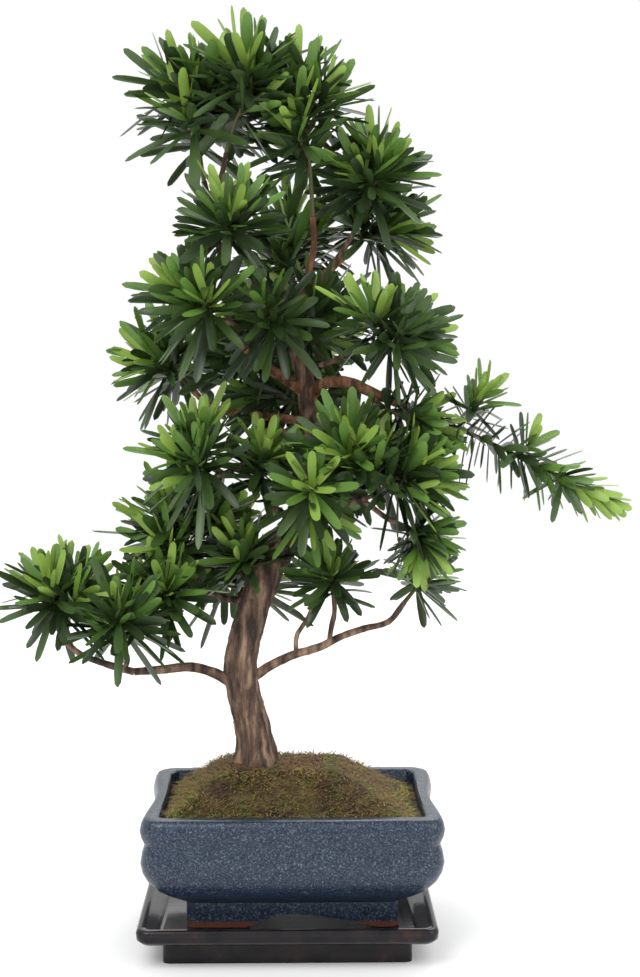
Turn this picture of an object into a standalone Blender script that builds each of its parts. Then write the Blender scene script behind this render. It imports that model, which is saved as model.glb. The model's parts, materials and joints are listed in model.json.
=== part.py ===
"""Buddhist pine (podocarpus) bonsai in a glazed pot that stands in a drip saucer.

The named sizes are millimetres and the meshes are metres. +Z is up, the front faces -Y, and the
origin is the centre of the saucer's flat underside.
"""
import math
import random
from dataclasses import dataclass

import bmesh
import bpy
import numpy as np
from mathutils import Matrix, Vector
from mathutils.bvhtree import BVHTree

MM = 0.001                  # one millimetre in metres
GAP = 0.3                   # left between pieces that touch
GOLDEN = math.radians(137.5)  # turn from one shoot or leaf to the next
UP = Vector((0.0, 0.0, 1.0))

# Drip saucer
SAUCER_WIDTH = 204.0
SAUCER_DEPTH = 155.0
SAUCER_HEIGHT = 28.0
SAUCER_FOOT_HEIGHT = 17.0   # the foot, from the ground to the underside of the lip
SAUCER_FLOOR = 20.0         # height of the recess that the pot stands in
SAUCER_CORNER = 8.0

# Pot
POT_X = 3.5                 # the pot stands a little to the right in its saucer
POT_WIDTH = 206.0
POT_DEPTH = 154.0
POT_BASE = SAUCER_FLOOR + GAP
POT_RIM = 102.0
POT_CORNER = 15.0
POT_PULL_IN = 4.5           # how far the short sides are drawn in between the corners
POT_BOW = 1.2               # how far the middle of a long side stands out
FOOT_TOP = 38.5
FOOT_INSET = 30.0
ARCH_LEFT = -32.0           # the low arch between the feet, under the front and the back
ARCH_PEAK = -2.0
ARCH_RIGHT = 58.0
ARCH_HEIGHT = 9.0

CORNER_STEPS = 3            # flats round a corner of the pot or saucer
SIDE_SHARES = (0.6, 0.0, -0.6)  # places along a short side, as shares of its half

# Soil mound, heaped round the foot of the trunk
SOIL_TOP = 123.7
SOIL_X = -6.0
SOIL_Y = 3.0
SOIL_FLAT = 0.34            # share of the way to the wall that the flat top reaches
SOIL_EDGE_FRONT = 98.0
SOIL_EDGE_BACK = 92.0

# Trunk
TRUNK_CUT = SOIL_TOP + GAP  # the flat cut at the soil's surface
ROOT_FLARE = 0.30           # how far the root buttresses stand out, as a share of the radius
FLARE_HEIGHT = 22.0
BUTTRESSES = 3

# Boughs
STATION = 16.0              # from one station of a bough's tube to the next
TRUNK_STATION = 14.0
TRUNK_SHARES = (0, 0.45, 0.85, 1)  # of the trunk's length
TRUNK_MIDDLE = 10.75        # its radius at the second of them
TRUNK_UPPER = 6.6           # and at the third

# Stems and side shoots of the foliage masses
TWIG_SIDES = 3
STEM_SIDES = 4
TWIG_FOOT = 2.3             # radius
TWIG_TIP = 2.0
STEM_STATIONS = 5
SHOOT_STATIONS = 3
BEND = 0.45                 # how far a curved stem follows its first heading
STEM_LEVEL = 0.4            # how much of its climb a stem on the trunk sets out with
SHOOT_SPAN = (0.2, 0.9)     # share of the stem that bears side shoots
SHOOT_OPENING = (48, 66)    # degrees between the stem and a side shoot
SHOOT_LENGTHS = (0.8, 1.1)  # share of the mass's spread
SHOOT_SHORTENING = 0.35     # how much shorter the shoots are at the stem's tip
HEADING_LIFT = 0.4          # how much of the mass's rise a shoot sets out with
END_LIFT = 0.35             # and how much more it takes on by its end
SHOOT_TRIES = 6
SHOOT_NEXT_TRY = math.radians(55)
SHOOT_ROOM = 1.5            # kept round a side shoot

# Leaves of the foliage masses
LEAF_ROOT = 1.0             # width of its root, inside the twig
LEAF_KEEL = 1.2             # depth of the keel at its root
LEAF_BROADEST = 0.60        # share of its length
LEAF_ASPECT = 4.7           # length over width
LEAF_LENGTHS = (0.85, 1.08)  # share of the mass's leaf length
LEAF_OLD_OPENING = 84       # degrees between the shoot and its oldest leaf
LEAF_YOUNG_CLOSING = 58     # how much more upright its youngest leaf is
LEAF_SWAY = 8
LEAF_TRIES = 3
LEAF_NEXT_TRY = math.radians(40)
LEAF_JOINED = 0.15          # share of a leaf that may run into its own mass
TIP_SUNK = 2.5              # from a shoot's end back to its last leaf's root
LEAF_STEP = 7.0             # along a clothed shoot, from one leaf to the next
TUFT_LEAVES = 4             # at each shoot's end
TUFT_LENGTH = 10.0
FLAT_ENOUGH = math.radians(0.5)  # neighbouring faces this close in angle are merged
TRIANGLES_A_NODE = 12000
SHARES_KEPT = (1.0, 0.85, 0.7)  # of a mass's leaves, when it doesn't fuse at once


@dataclass(frozen=True)
class Limb:
    """A trunk or bough: the places its axis passes, from its foot to its tip, and its thickness."""
    name: str
    parent: str
    places: tuple
    foot: float
    tip: float
    on_tip: bool = False    # carries on from the parent's tip, and not from its side
    sides: int = 7
    hue: str = "bark"


@dataclass(frozen=True)
class Mass:
    """A mass of foliage that grows from one stem, on a bough's tip or on the trunk."""
    name: str
    limb: str
    tip: tuple              # where its main stem ends
    spread: float           # length of its longest side shoots
    shoots: int             # side shoots
    rise: float = 0.5       # how far the shoots turn up, as a share of their length
    leaf: float = 47.0      # length of its leaves
    clothed: float = 0.35   # share of each stem that bears leaves, down from its tip
    step: float = LEAF_STEP
    span: tuple = SHOOT_SPAN
    seed: int = 1
    root: tuple = ()        # only on the trunk: the place on its axis
    hue: str = "leaf"


LIMBS = (
    Limb("trunk", "",
         ((-21, 0, TRUNK_CUT), (-24, 0, 149), (-31, -2, 175), (-32, -4, 202), (-23, -2, 237), (-12, 2, 264),
          (0, 3, 283), (11, 0, 307), (19, -4, 342), (15, 1, 377), (10, 4, 405), (1, 3, 437)),
         24, 10, sides=10),
    Limb("low_left_bough", "trunk",
         ((-33, -2, 176), (-46, -6, 186), (-58, -10, 194), (-80, -15, 194), (-106, -20, 193)), 8, 5.4),
    Limb("low_left_outer_bough", "low_left_bough",
         ((-106, -20, 193), (-121, -24, 198), (-140, -28, 206), (-152, -30, 215), (-157, -30, 225)),
         5.4, 3.6, on_tip=True),
    Limb("low_left_stalk", "low_left_outer_bough",
         ((-113, -21, 195), (-110, -26, 202), (-112, -38, 218)), 3.6, 3.2, sides=6),
    Limb("low_right_bough", "trunk",
         ((-26, -3, 184), (-16, -6, 192), (3, -9, 202), (27, -6, 209), (46, 0, 218), (64, 6, 220),
          (78, 10, 227), (83, 12, 236)), 7, 3.8),
    Limb("low_right_inner_twig", "low_right_bough",
         ((6, -9, 203), (7, -12, 218), (12, -12, 224), (16, -14, 234), (19, -14, 241)), 3.4, 2.8, sides=6),
    Limb("low_right_outer_twig", "low_right_bough",
         ((29, -6, 210), (31, -9, 223), (33, -13, 236), (32, -15, 246)), 3.8, 3.2, sides=6),
    Limb("middle_left_bough", "trunk",
         ((-22, -2, 240), (-36, 4, 239), (-52, 9, 243), (-60, 10, 249), (-65, 8, 257)), 6, 3.8),
    Limb("middle_left_lower_bough", "middle_left_bough",
         ((-53, 9, 244), (-63, 2, 242), (-71, -5, 242), (-79, -14, 242)), 3.6, 3, sides=6),
    Limb("left_spur", "trunk", ((7, 0, 292), (-4, -9, 303), (-13, -14, 310), (-17, -18, 318)), 5.6, 3.8),
    Limb("left_curling_bough", "trunk",
         ((15, -1, 364), (0, -8, 359), (-14, -17, 351), (-27, -25, 344), (-33, -30, 335), (-39, -34, 329),
          (-48, -38, 330)), 6, 3.6),
    Limb("left_long_bough", "trunk",
         ((17, 0, 366), (-4, 10, 367), (-25, 22, 370), (-49, 34, 372), (-63, 42, 381), (-72, 46, 390)),
         7, 4, hue="young_bark"),
    Limb("left_rising_bough", "trunk",
         ((13, 2, 385), (-2, -6, 396), (-17, -14, 406), (-28, -20, 416)), 8.4, 6.4, hue="young_bark"),
    Limb("left_leader", "left_rising_bough",
         ((-28, -20, 416), (-35, -20, 427), (-41, -16, 449), (-44, -10, 475), (-51, -3, 504), (-57, 4, 531)),
         6.4, 4, on_tip=True),
    Limb("left_shoulder_stalk", "left_leader",
         ((-43, -11, 470), (-40, -20, 478), (-38, -28, 486)), 3.6, 3.2, sides=6),
    Limb("top_middle_bough", "left_leader",
         ((-52, -2, 510), (-46, -7, 528), (-41, -12, 549)), 4, 3.4, sides=6),
    Limb("left_upper_bough", "trunk",
         ((4, 4, 426), (-11, -8, 430), (-20, -17, 430), (-32, -27, 431), (-43, -36, 435)), 6.4, 3.8),
    Limb("right_leader", "trunk",
         ((1, 3, 437), (11, 10, 449), (22, 18, 463), (35, 28, 476), (45, 35, 485)),
         9, 4.4, on_tip=True, hue="young_bark"),
    Limb("top_leader", "right_leader",
         ((10, 9, 449), (15, 8, 468), (19, 4, 489), (18, 0, 507)), 5.4, 4, hue="young_bark"),
    Limb("right_shoulder_bough", "right_leader",
         ((29, 24, 471), (41, 24, 487), (51, 20, 505), (56, 16, 516)), 4.2, 3.4, sides=6),
    Limb("right_arm", "trunk",
         ((15, 1, 383), (25, -6, 391), (34, -11, 395), (45, -16, 392), (61, -21, 385), (89, -27, 374),
          (110, -30, 365)), 9.4, 5.2, hue="young_bark"),
    Limb("right_arm_stalk", "right_arm", ((54, -19, 388), (59, -28, 382), (64, -36, 378)), 3.8, 3.2, sides=6),
    Limb("right_upper_bough", "trunk", ((10, 4, 403), (24, -8, 405), (39, -24, 411), (51, -38, 416)), 5, 3.4),
    Limb("right_middle_bough", "trunk",
         ((6, 1, 288), (20, -10, 290), (27, -20, 300), (39, -34, 311), (54, -44, 316)), 6.6, 4.4),
    Limb("right_middle_stalk", "right_middle_bough",
         ((35, -30, 308), (41, -36, 319), (43, -40, 330)), 3.8, 3.2, sides=6),
    Limb("right_drooping_bough", "right_middle_bough",
         ((50, -41, 315), (61, -46, 307), (71, -46, 300), (79, -46, 297)), 3.8, 3.2, sides=6),
)

MASSES = (
    Mass("far_left_foliage", "low_left_outer_bough", (-143, -34, 247), 22, 3, rise=0.4, leaf=44),
    Mass("low_left_foliage", "low_left_stalk", (-113, -42, 236), 14, 2, rise=0.2),
    Mass("low_right_far_foliage", "low_right_bough", (101, 18, 258), 12, 1, rise=0.6, leaf=36),
    Mass("low_right_rosette", "low_right_outer_twig", (31, -17, 260), 11, 2, rise=0.2, leaf=38),
    Mass("middle_left_foliage", "middle_left_bough", (-72, 2, 284), 32, 4, rise=0.5),
    Mass("middle_left_lower_foliage", "middle_left_lower_bough", (-91, -20, 249), 13, 2, rise=0.4, leaf=42),
    Mass("left_spur_foliage", "left_spur", (-17, -20, 339), 18, 2, rise=0.5, leaf=36),
    Mass("left_lower_foliage", "left_curling_bough", (-66, -42, 341), 24, 3, rise=0.4, leaf=42),
    Mass("left_middle_foliage", "left_long_bough", (-86, 48, 405), 24, 3, rise=0.3, leaf=44),
    Mass("top_left_foliage", "left_leader", (-60, 8, 596), 26, 4, rise=0.6, leaf=50),
    Mass("left_shoulder_foliage", "left_shoulder_stalk", (-39, -32, 498), 16, 2, rise=0.5),
    Mass("top_middle_foliage", "top_middle_bough", (-16, -16, 604), 20, 2, rise=0.6, leaf=50),
    Mass("left_upper_foliage", "left_upper_bough", (-67, -44, 448), 18, 2, rise=0.4),
    Mass("right_wing_foliage", "right_leader", (69, 40, 504), 20, 2, rise=0.1),
    Mass("top_right_foliage", "top_leader", (10, -2, 598), 28, 4, rise=0.5),
    Mass("right_shoulder_foliage", "right_shoulder_bough", (58, 12, 536), 20, 3, rise=0.3),
    Mass("right_arm_outer_foliage", "right_arm", (217, -36, 313), 20, 1, rise=1.0, leaf=31,
         clothed=0.97, step=4.6, span=(0.02, 0.10)),
    Mass("right_arm_inner_foliage", "right_arm_stalk", (105, -40, 362), 12, 1, rise=-0.3, leaf=32,
         clothed=0.9),
    Mass("right_upper_foliage", "right_upper_bough", (77, -48, 428), 24, 3, rise=0.3, leaf=42),
    Mass("right_middle_foliage", "right_middle_bough", (80, -52, 338), 24, 3, rise=0.2, leaf=44),
    Mass("right_middle_inner_foliage", "right_middle_stalk", (47, -46, 346), 18, 2, rise=0.2),
    Mass("right_drooping_foliage", "right_drooping_bough", (94, -46, 285), 10, 2, rise=-0.2, leaf=34,
         clothed=0.8),
    Mass("trunk_left_foliage", "trunk", (-33, -16, 280), 12, 1, rise=0.6, leaf=38, root=(-18, -1, 250)),
    Mass("trunk_front_foliage", "trunk", (17, -62, 324), 16, 2, rise=0.2, leaf=42, root=(11, 0, 308)),
    Mass("left_inner_foliage", "trunk", (-18, 42, 385), 20, 2, rise=0.3, leaf=40, root=(15, 1, 377)),
    Mass("trunk_right_foliage", "trunk", (26, 24, 445), 14, 2, rise=0.3, root=(7, 4, 414)),
    Mass("fork_foliage", "trunk", (-16, -36, 446), 12, 1, rise=0.5, root=(5, 3, 419)),
    Mass("back_lower_foliage", "trunk", (-46, 75, 268), 28, 3, rise=0.5, root=(-26, -3, 226)),
    Mass("back_middle_foliage", "trunk", (48, 80, 336), 28, 3, rise=0.2, root=(19, -3, 346)),
    Mass("back_upper_foliage", "trunk", (-34, 82, 424), 30, 3, rise=0.5, root=(12, 3, 394)),
    Mass("back_top_foliage", "trunk", (2, 76, 512), 28, 3, rise=0.5, root=(4, 4, 422)),
)

HUES = {
    "bark": ((0.15, 0.09, 0.06), 0.85),
    "young_bark": ((0.30, 0.12, 0.05), 0.75),
    "leaf": ((0.06, 0.12, 0.025), 0.45),
    "pot_glaze": ((0.045, 0.065, 0.11), 0.35),
    "saucer_glaze": ((0.018, 0.014, 0.015), 0.15),
    "soil": ((0.10, 0.065, 0.03), 0.95),
}


def material(hue):
    """A new Principled material in one of the named colours."""
    colour, roughness = HUES[hue]
    made = bpy.data.materials.new(hue)
    made.use_nodes = True
    shader = made.node_tree.nodes["Principled BSDF"]
    shader.inputs["Base Color"].default_value = (*colour, 1.0)
    shader.inputs["Roughness"].default_value = roughness
    return made


def new_object(name, bm, hue, smooth_deg=None):
    """Turns a bmesh in millimetres into a named object in metres with its own material."""
    bmesh.ops.scale(bm, vec=(MM, MM, MM), verts=bm.verts)
    mesh = bpy.data.meshes.new(name)
    bm.to_mesh(mesh)
    bm.free()
    if smooth_deg is not None:
        mesh.shade_smooth()
        mesh.set_sharp_from_angle(angle=math.radians(smooth_deg))
    mesh.materials.append(material(hue))
    made = bpy.data.objects.new(name, mesh)
    bpy.context.scene.collection.objects.link(made)
    return made


def skin(bm, outlines):
    """Joins outlines with equally many points into one skin, and closes both ends with flat faces."""
    rings = [[bm.verts.new(point) for point in outline] for outline in outlines]
    for lower, upper in zip(rings, rings[1:]):
        for index in range(len(lower)):
            following = (index + 1) % len(lower)
            bm.faces.new((lower[index], lower[following], upper[following], upper[index]))
    bm.faces.new(rings[0])
    bm.faces.new(rings[-1])
    bmesh.ops.recalc_face_normals(bm, faces=bm.faces)


def smooth_path(places, count):
    """Points spaced evenly along a Catmull-Rom curve through the places."""
    knots = [Vector(place) for place in places]
    knots = [2 * knots[0] - knots[1]] + knots + [2 * knots[-1] - knots[-2]]
    fine = []
    for before, start, end, after in zip(knots, knots[1:], knots[2:], knots[3:]):
        for step in range(8):
            t = step / 8
            bend = (2 * before - 5 * start + 4 * end - after) * t ** 2
            twist = (3 * start - before - 3 * end + after) * t ** 3
            fine.append(0.5 * (2 * start + (end - before) * t + bend + twist))
    fine.append(knots[-2])
    lengths = np.cumsum([0.0] + [(b - a).length for a, b in zip(fine, fine[1:])])
    wanted = np.linspace(0.0, lengths[-1], count)
    columns = [np.interp(wanted, lengths, [point[axis] for point in fine]) for axis in range(3)]
    return [Vector(point) for point in zip(*columns)]


def directions(path):
    """The direction of travel at each point of a path."""
    ahead = path[1:] + [2 * path[-1] - path[-2]]
    behind = [2 * path[0] - path[1]] + path[:-1]
    return [(b - a).normalized() for a, b in zip(behind, ahead)]


def tube(path, radii, sides, swell=None, foot_facing=None):
    """A closed tube along a path. swell(point, angle) scales the radius there, and foot_facing
    is the direction that the cut at its foot is square to."""
    bm = bmesh.new()
    rings = []
    travel = directions(path)
    if foot_facing is not None:
        travel[0] = foot_facing.copy()
    across = travel[0].orthogonal().normalized()
    for point, heading, radius in zip(path, travel, radii):
        across = (across - heading * across.dot(heading)).normalized()
        beside = heading.cross(across)
        ring = []
        for side in range(sides):
            angle = 2 * math.pi * side / sides
            reach = radius * (swell(point, angle) if swell else 1.0)
            ring.append(point + (across * math.cos(angle) + beside * math.sin(angle)) * reach)
        rings.append(ring)
    skin(bm, rings)
    return bm


def flare(point, angle):
    """Root buttresses that die out up the trunk."""
    fade = math.exp(-(point.z - TRUNK_CUT) / FLARE_HEIGHT)
    return 1.0 + ROOT_FLARE * fade * math.cos(BUTTRESSES * angle) + ROOT_FLARE * fade ** 2


def tip_heading(path):
    """The direction that a path ends in."""
    return (path[-1] - path[-2]).normalized()


def limb_axis(limb, axes):
    """A limb's path and its radius at each point, tapering from foot to tip."""
    length = sum((Vector(b) - Vector(a)).length for a, b in zip(limb.places, limb.places[1:]))
    path = smooth_path(limb.places, max(4, round(length / (STATION if limb.parent else TRUNK_STATION))))
    if limb.on_tip:
        parent_path = axes[limb.parent][1]
        path[0] = parent_path[-1] + tip_heading(parent_path) * GAP
    radii = [limb.foot / 2 + (limb.tip - limb.foot) / 2 * step / (len(path) - 1) for step in range(len(path))]
    if limb.parent == "":
        known = (limb.foot / 2, TRUNK_MIDDLE, TRUNK_UPPER, limb.tip / 2)
        radii = [np.interp(step / (len(path) - 1), TRUNK_SHARES, known) for step in range(len(path))]
    return path, radii


def limb_bmesh(name, axes, extra=0.0):
    """The limb's tube, grown by extra on every side."""
    limb, path, radii = axes[name]
    grown = [radius + extra / math.cos(math.pi / limb.sides) for radius in radii]
    if limb.parent == "":
        return tube(path, grown, limb.sides, swell=flare, foot_facing=UP)
    facing = tip_heading(axes[limb.parent][1]) if limb.on_tip else None
    return tube(path, grown, limb.sides, foot_facing=facing)


def applied(target, modifier_kind, **settings):
    """Adds a modifier, bakes its result into the object's mesh and drops it."""
    modifier = target.modifiers.new(modifier_kind.title(), modifier_kind)
    for key, value in settings.items():
        setattr(modifier, key, value)
    graph = bpy.context.evaluated_depsgraph_get()
    result = bpy.data.meshes.new_from_object(target.evaluated_get(graph))
    target.modifiers.clear()
    target.data = result
    return target


def remove(target):
    """Deletes an object and its mesh."""
    mesh = target.data
    bpy.data.objects.remove(target)
    bpy.data.meshes.remove(mesh)


def build_limbs():
    """Makes the trunk and the boughs. Each bough's foot is cut to sit against its parent's side."""
    axes = {}
    for limb in LIMBS:
        path, radii = limb_axis(limb, axes)
        axes[limb.name] = (limb, path, radii)
        made = new_object(limb.name, limb_bmesh(limb.name, axes), limb.hue, smooth_deg=50)
        if limb.parent and not limb.on_tip:
            cutter = new_object("cutter", limb_bmesh(limb.parent, axes, extra=GAP), "bark")
            applied(made, "BOOLEAN", operation="DIFFERENCE", solver="EXACT", object=cutter)
            remove(cutter)
    return axes


class Taken:
    """The round rods that already fill the crown: limbs, stems and shoots."""

    def __init__(self):
        self.starts = np.zeros((0, 3))
        self.ends = np.zeros((0, 3))
        self.radii = np.zeros(0)
        self.owners = []

    def add(self, path, radius, owner):
        """Adds one rod for each stretch of the path."""
        points = np.array([tuple(point) for point in path])
        self.starts = np.vstack([self.starts, points[:-1]])
        self.ends = np.vstack([self.ends, points[1:]])
        self.radii = np.append(self.radii, np.full(len(points) - 1, radius))
        self.owners += [owner] * (len(points) - 1)

    def blocks(self, path, radius, owner):
        """True if the path comes within reach of a rod that isn't its owner's."""
        others = np.array([name != owner for name in self.owners])
        if not others.any():
            return False
        points = np.array([tuple(point) for point in path])
        samples = np.linspace(points[:-1], points[1:], 5).reshape(-1, 3)
        starts, ends = self.starts[others], self.ends[others]
        along = ends - starts
        offset = samples[:, None, :] - starts[None]
        share = np.clip((offset * along).sum(2) / (along * along).sum(1), 0.0, 1.0)
        away = np.linalg.norm(offset - share[..., None] * along, axis=2)
        return bool((away < self.radii[others] + radius).any())


def bent_path(start, heading, end, count):
    """A curve from start to end that leaves along the heading."""
    control = start + heading * (end - start).length * BEND
    steps = [step / (count - 1) for step in range(count)]
    return [start * (1 - t) ** 2 + control * 2 * t * (1 - t) + end * t ** 2 for t in steps]


def main_stem(mass, axes):
    """The stem that a mass grows from, its radius at the foot and the way its foot faces."""
    limb, path, radii = axes[mass.limb]
    tip = Vector(mass.tip)
    if mass.root:
        root = Vector(mass.root)
        outward = tip - root
        outward.z *= STEM_LEVEL
        return bent_path(root, outward.normalized(), tip, STEM_STATIONS), TWIG_FOOT, None
    heading = tip_heading(path)
    return bent_path(path[-1] + heading * GAP, heading, tip, STEM_STATIONS), radii[-1], heading


def side_shoot(mass, stem, index, turn, dice):
    """The path of one side shoot, turned round the stem by the golden angle."""
    first, last = mass.span
    share = first + (last - first) * (index + 0.5) / mass.shoots
    place = share * (len(stem) - 1)
    low = int(place)
    base = stem[low].lerp(stem[low + 1], place - low)
    axis = (stem[low + 1] - stem[low]).normalized()
    across = axis.orthogonal().normalized()
    across.rotate(Matrix.Rotation(turn, 3, axis))
    opening = math.radians(dice.uniform(*SHOOT_OPENING))
    heading = axis * math.cos(opening) + across * math.sin(opening)
    heading = (heading + UP * mass.rise * HEADING_LIFT).normalized()
    length = mass.spread * dice.uniform(*SHOOT_LENGTHS) * (1.0 - SHOOT_SHORTENING * share)
    return bent_path(base, heading, base + (heading + UP * mass.rise * END_LIFT) * length, SHOOT_STATIONS)


def grow(mass, axes, taken):
    """The mass's shoots, main stem first. A shoot that finds no free way is skipped."""
    stem, foot_radius, facing = main_stem(mass, axes)
    taken.add(stem, TWIG_FOOT, mass.name)
    shoots = [stem]
    for index in range(mass.shoots):
        dice = random.Random(f"{mass.name} {mass.seed} {index}")
        turn = mass.seed + index * GOLDEN
        for attempt in range(SHOOT_TRIES):
            path = side_shoot(mass, stem, index, turn + attempt * SHOOT_NEXT_TRY, dice)
            if not taken.blocks(path[1:], TWIG_FOOT + SHOOT_ROOM, mass.name):
                taken.add(path, TWIG_TIP, mass.name)
                shoots.append(path)
                break
    return shoots, foot_radius, facing


def leaf_points(root, heading, face, length, grow_by=0.0):
    """The six corners of a leaf: a blunt root, the broadest place and the tip, over a keel."""
    width = length / LEAF_ASPECT
    beside = heading.cross(face).normalized()
    face = beside.cross(heading).normalized()
    middle = root + heading * length * LEAF_BROADEST
    lift = face * grow_by
    narrow = beside * (LEAF_ROOT / 2 + grow_by)
    broad = beside * (width / 2 + grow_by)
    return [root - narrow + lift, root + narrow + lift, root - face * (LEAF_KEEL + grow_by),
            middle - broad + lift, middle + broad + lift,
            root + heading * (length + 2 * grow_by) + lift / 2]


def leaf_bmesh(points):
    """The closed body spanned by a leaf's corners."""
    bm = bmesh.new()
    for point in points:
        bm.verts.new(point)
    bmesh.ops.convex_hull(bm, input=bm.verts)
    bmesh.ops.triangulate(bm, faces=bm.faces)
    bmesh.ops.recalc_face_normals(bm, faces=bm.faces)
    return bm


def leaf_places(mass, path):
    """Where leaves leave a shoot, as (share of the way, openness), oldest and most open first."""
    length = sum((b - a).length for a, b in zip(path, path[1:]))
    clothed = max(length * mass.clothed, TUFT_LENGTH)
    count = TUFT_LEAVES + int(clothed / mass.step) - 1
    for index in range(count):
        youth = index / (count - 1)
        yield 1.0 - (TIP_SUNK + (clothed - TIP_SUNK) * (1.0 - youth)) / length, youth


class Obstacles:
    """Solids that a new leaf has to keep clear of, each with its box."""

    def __init__(self):
        self.lows, self.highs, self.trees, self.owners = [], [], [], []

    def add(self, bm, owner):
        """Remembers a solid in millimetres."""
        points = np.array([tuple(vert.co) for vert in bm.verts])
        self.lows.append(points.min(0))
        self.highs.append(points.max(0))
        self.trees.append(BVHTree.FromBMesh(bm))
        self.owners.append(owner)

    def hit(self, bm, keep):
        """True if the solid crosses one whose owner passes the keep test."""
        points = np.array([tuple(vert.co) for vert in bm.verts])
        reach = (np.array(self.lows) <= points.max(0)) & (np.array(self.highs) >= points.min(0))
        near = [index for index in np.flatnonzero(reach.all(1)) if keep(self.owners[index])]
        tree = BVHTree.FromBMesh(bm)
        return any(tree.overlap(self.trees[index]) for index in near)


def leaves_on(mass, path, number, obstacles):
    """The leaves of one shoot that find room, as closed bodies."""
    dice = random.Random(f"{mass.name} {mass.seed} leaves {number}")
    made = []
    phase = dice.uniform(0, 2 * math.pi)
    for index, (share, youth) in enumerate(leaf_places(mass, path)):
        place = min(share * (len(path) - 1), len(path) - 1.001)
        low = int(place)
        root = path[low].lerp(path[low + 1], place - low)
        axis = (path[low + 1] - path[low]).normalized()
        sway = dice.uniform(-LEAF_SWAY, LEAF_SWAY)
        opening = math.radians(LEAF_OLD_OPENING - LEAF_YOUNG_CLOSING * youth + sway)
        length = mass.leaf * dice.uniform(*LEAF_LENGTHS)
        free = length * LEAF_JOINED
        for attempt in range(LEAF_TRIES):
            across = axis.orthogonal().normalized()
            turn = phase + index * GOLDEN + attempt * LEAF_NEXT_TRY
            across.rotate(Matrix.Rotation(turn, 3, axis))
            heading = (axis * math.cos(opening) + across * math.sin(opening)).normalized()
            face = axis - heading * axis.dot(heading)
            fat = leaf_bmesh(leaf_points(root, heading, face, length, grow_by=GAP))
            blade = leaf_bmesh(leaf_points(root + heading * free, heading, face, length - free))
            clear = not obstacles.hit(fat, lambda owner: owner[0] != mass.name)
            clear = clear and not obstacles.hit(blade, lambda owner: owner[0] == mass.name)
            fat.free()
            blade.free()
            if clear:
                leaf = leaf_bmesh(leaf_points(root, heading, face, length))
                obstacles.add(leaf, (mass.name, "leaf"))
                made.append(leaf)
                break
    return made


def closed(bm):
    """True if every edge lies between two faces."""
    return all(len(edge.link_faces) == 2 for edge in bm.edges)


def largest_shell(mesh):
    """Keeps the biggest closed shell of a fused mesh, so that no scrap or sealed hollow is left."""
    bm = bmesh.new()
    bm.from_mesh(mesh)
    unseen = set(bm.faces)
    shells = []
    while unseen:
        shell, front = set(), [unseen.pop()]
        while front:
            face = front.pop()
            shell.add(face)
            for edge in face.edges:
                for other in edge.link_faces:
                    if other in unseen:
                        unseen.discard(other)
                        front.append(other)
        shells.append(shell)
    biggest = max(shells, key=len)
    bmesh.ops.delete(bm, geom=[face for face in bm.faces if face not in biggest], context="FACES")
    merged = bm.copy()
    bmesh.ops.dissolve_limit(merged, angle_limit=FLAT_ENOUGH, verts=merged.verts, edges=merged.edges)
    for candidate in (merged, bm):
        bmesh.ops.triangulate(candidate, faces=candidate.faces)
        if closed(candidate) and len(candidate.faces) <= TRIANGLES_A_NODE:
            candidate.to_mesh(mesh)
            return True
    return False


def fuse(mass, stem, parts):
    """Joins a mass's stem, shoots and leaves into one closed body."""
    for share in SHARES_KEPT:
        count = int(len(parts) * share)
        for solver in ("EXACT", "MANIFOLD"):
            body = new_object(mass.name, stem.copy(), mass.hue)
            group = bpy.data.collections.new("group")
            bpy.context.scene.collection.children.link(group)
            for part in parts[:count]:
                piece = new_object("piece", part.copy(), mass.hue)
                bpy.context.scene.collection.objects.unlink(piece)
                group.objects.link(piece)
            applied(body, "BOOLEAN", operation="UNION", solver=solver, operand_type="COLLECTION",
                    collection=group)
            for piece in list(group.objects):
                remove(piece)
            bpy.data.collections.remove(group)
            if largest_shell(body.data):
                return body
            remove(body)
    raise RuntimeError(f"{mass.name} doesn't fuse")


def build_foliage(axes):
    """Grows every mass: first all the shoots, then the leaves where there is room for them."""
    taken = Taken()
    for name, (limb, path, radii) in axes.items():
        for start, end, radius in zip(path, path[1:], radii):
            taken.add([start, end], radius, name)
    grown = {mass.name: grow(mass, axes, taken) for mass in MASSES}
    obstacles = Obstacles()
    for name in axes:
        rod = limb_bmesh(name, axes, extra=GAP)
        obstacles.add(rod, (name, "limb"))
        rod.free()
    stems, twigs = {}, {}
    for mass in MASSES:
        shoots, foot_radius, facing = grown[mass.name]
        twigs[mass.name] = []
        for number, path in enumerate(shoots):
            foot = foot_radius if number == 0 else TWIG_FOOT
            radii = np.linspace(foot, TWIG_TIP, len(path))
            if number == 0:
                twig = tube(path, radii, STEM_SIDES, foot_facing=facing)
            else:
                twig = tube(path, radii, TWIG_SIDES)
            obstacles.add(twig, (mass.name, number))
            twigs[mass.name].append(twig)
    for mass in MASSES:
        shoots = grown[mass.name][0]
        parts = twigs[mass.name][1:]
        for number, path in enumerate(shoots):
            parts += leaves_on(mass, path, number, obstacles)
        stem = twigs[mass.name][0]
        if mass.root:
            stem = cut_by_trunk(stem, axes)
        fuse(mass, stem, parts)


def cut_by_trunk(stem, axes):
    """Cuts a stem that starts inside the trunk, so that it starts just outside the bark."""
    cutter = new_object("cutter", limb_bmesh("trunk", axes, extra=GAP), "bark")
    whole = new_object("whole", stem, "bark")
    applied(whole, "BOOLEAN", operation="DIFFERENCE", solver="EXACT", object=cutter)
    bm = bmesh.new()
    bm.from_mesh(whole.data)
    bmesh.ops.scale(bm, vec=(1 / MM, 1 / MM, 1 / MM), verts=bm.verts)
    remove(cutter)
    remove(whole)
    return bm


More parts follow.
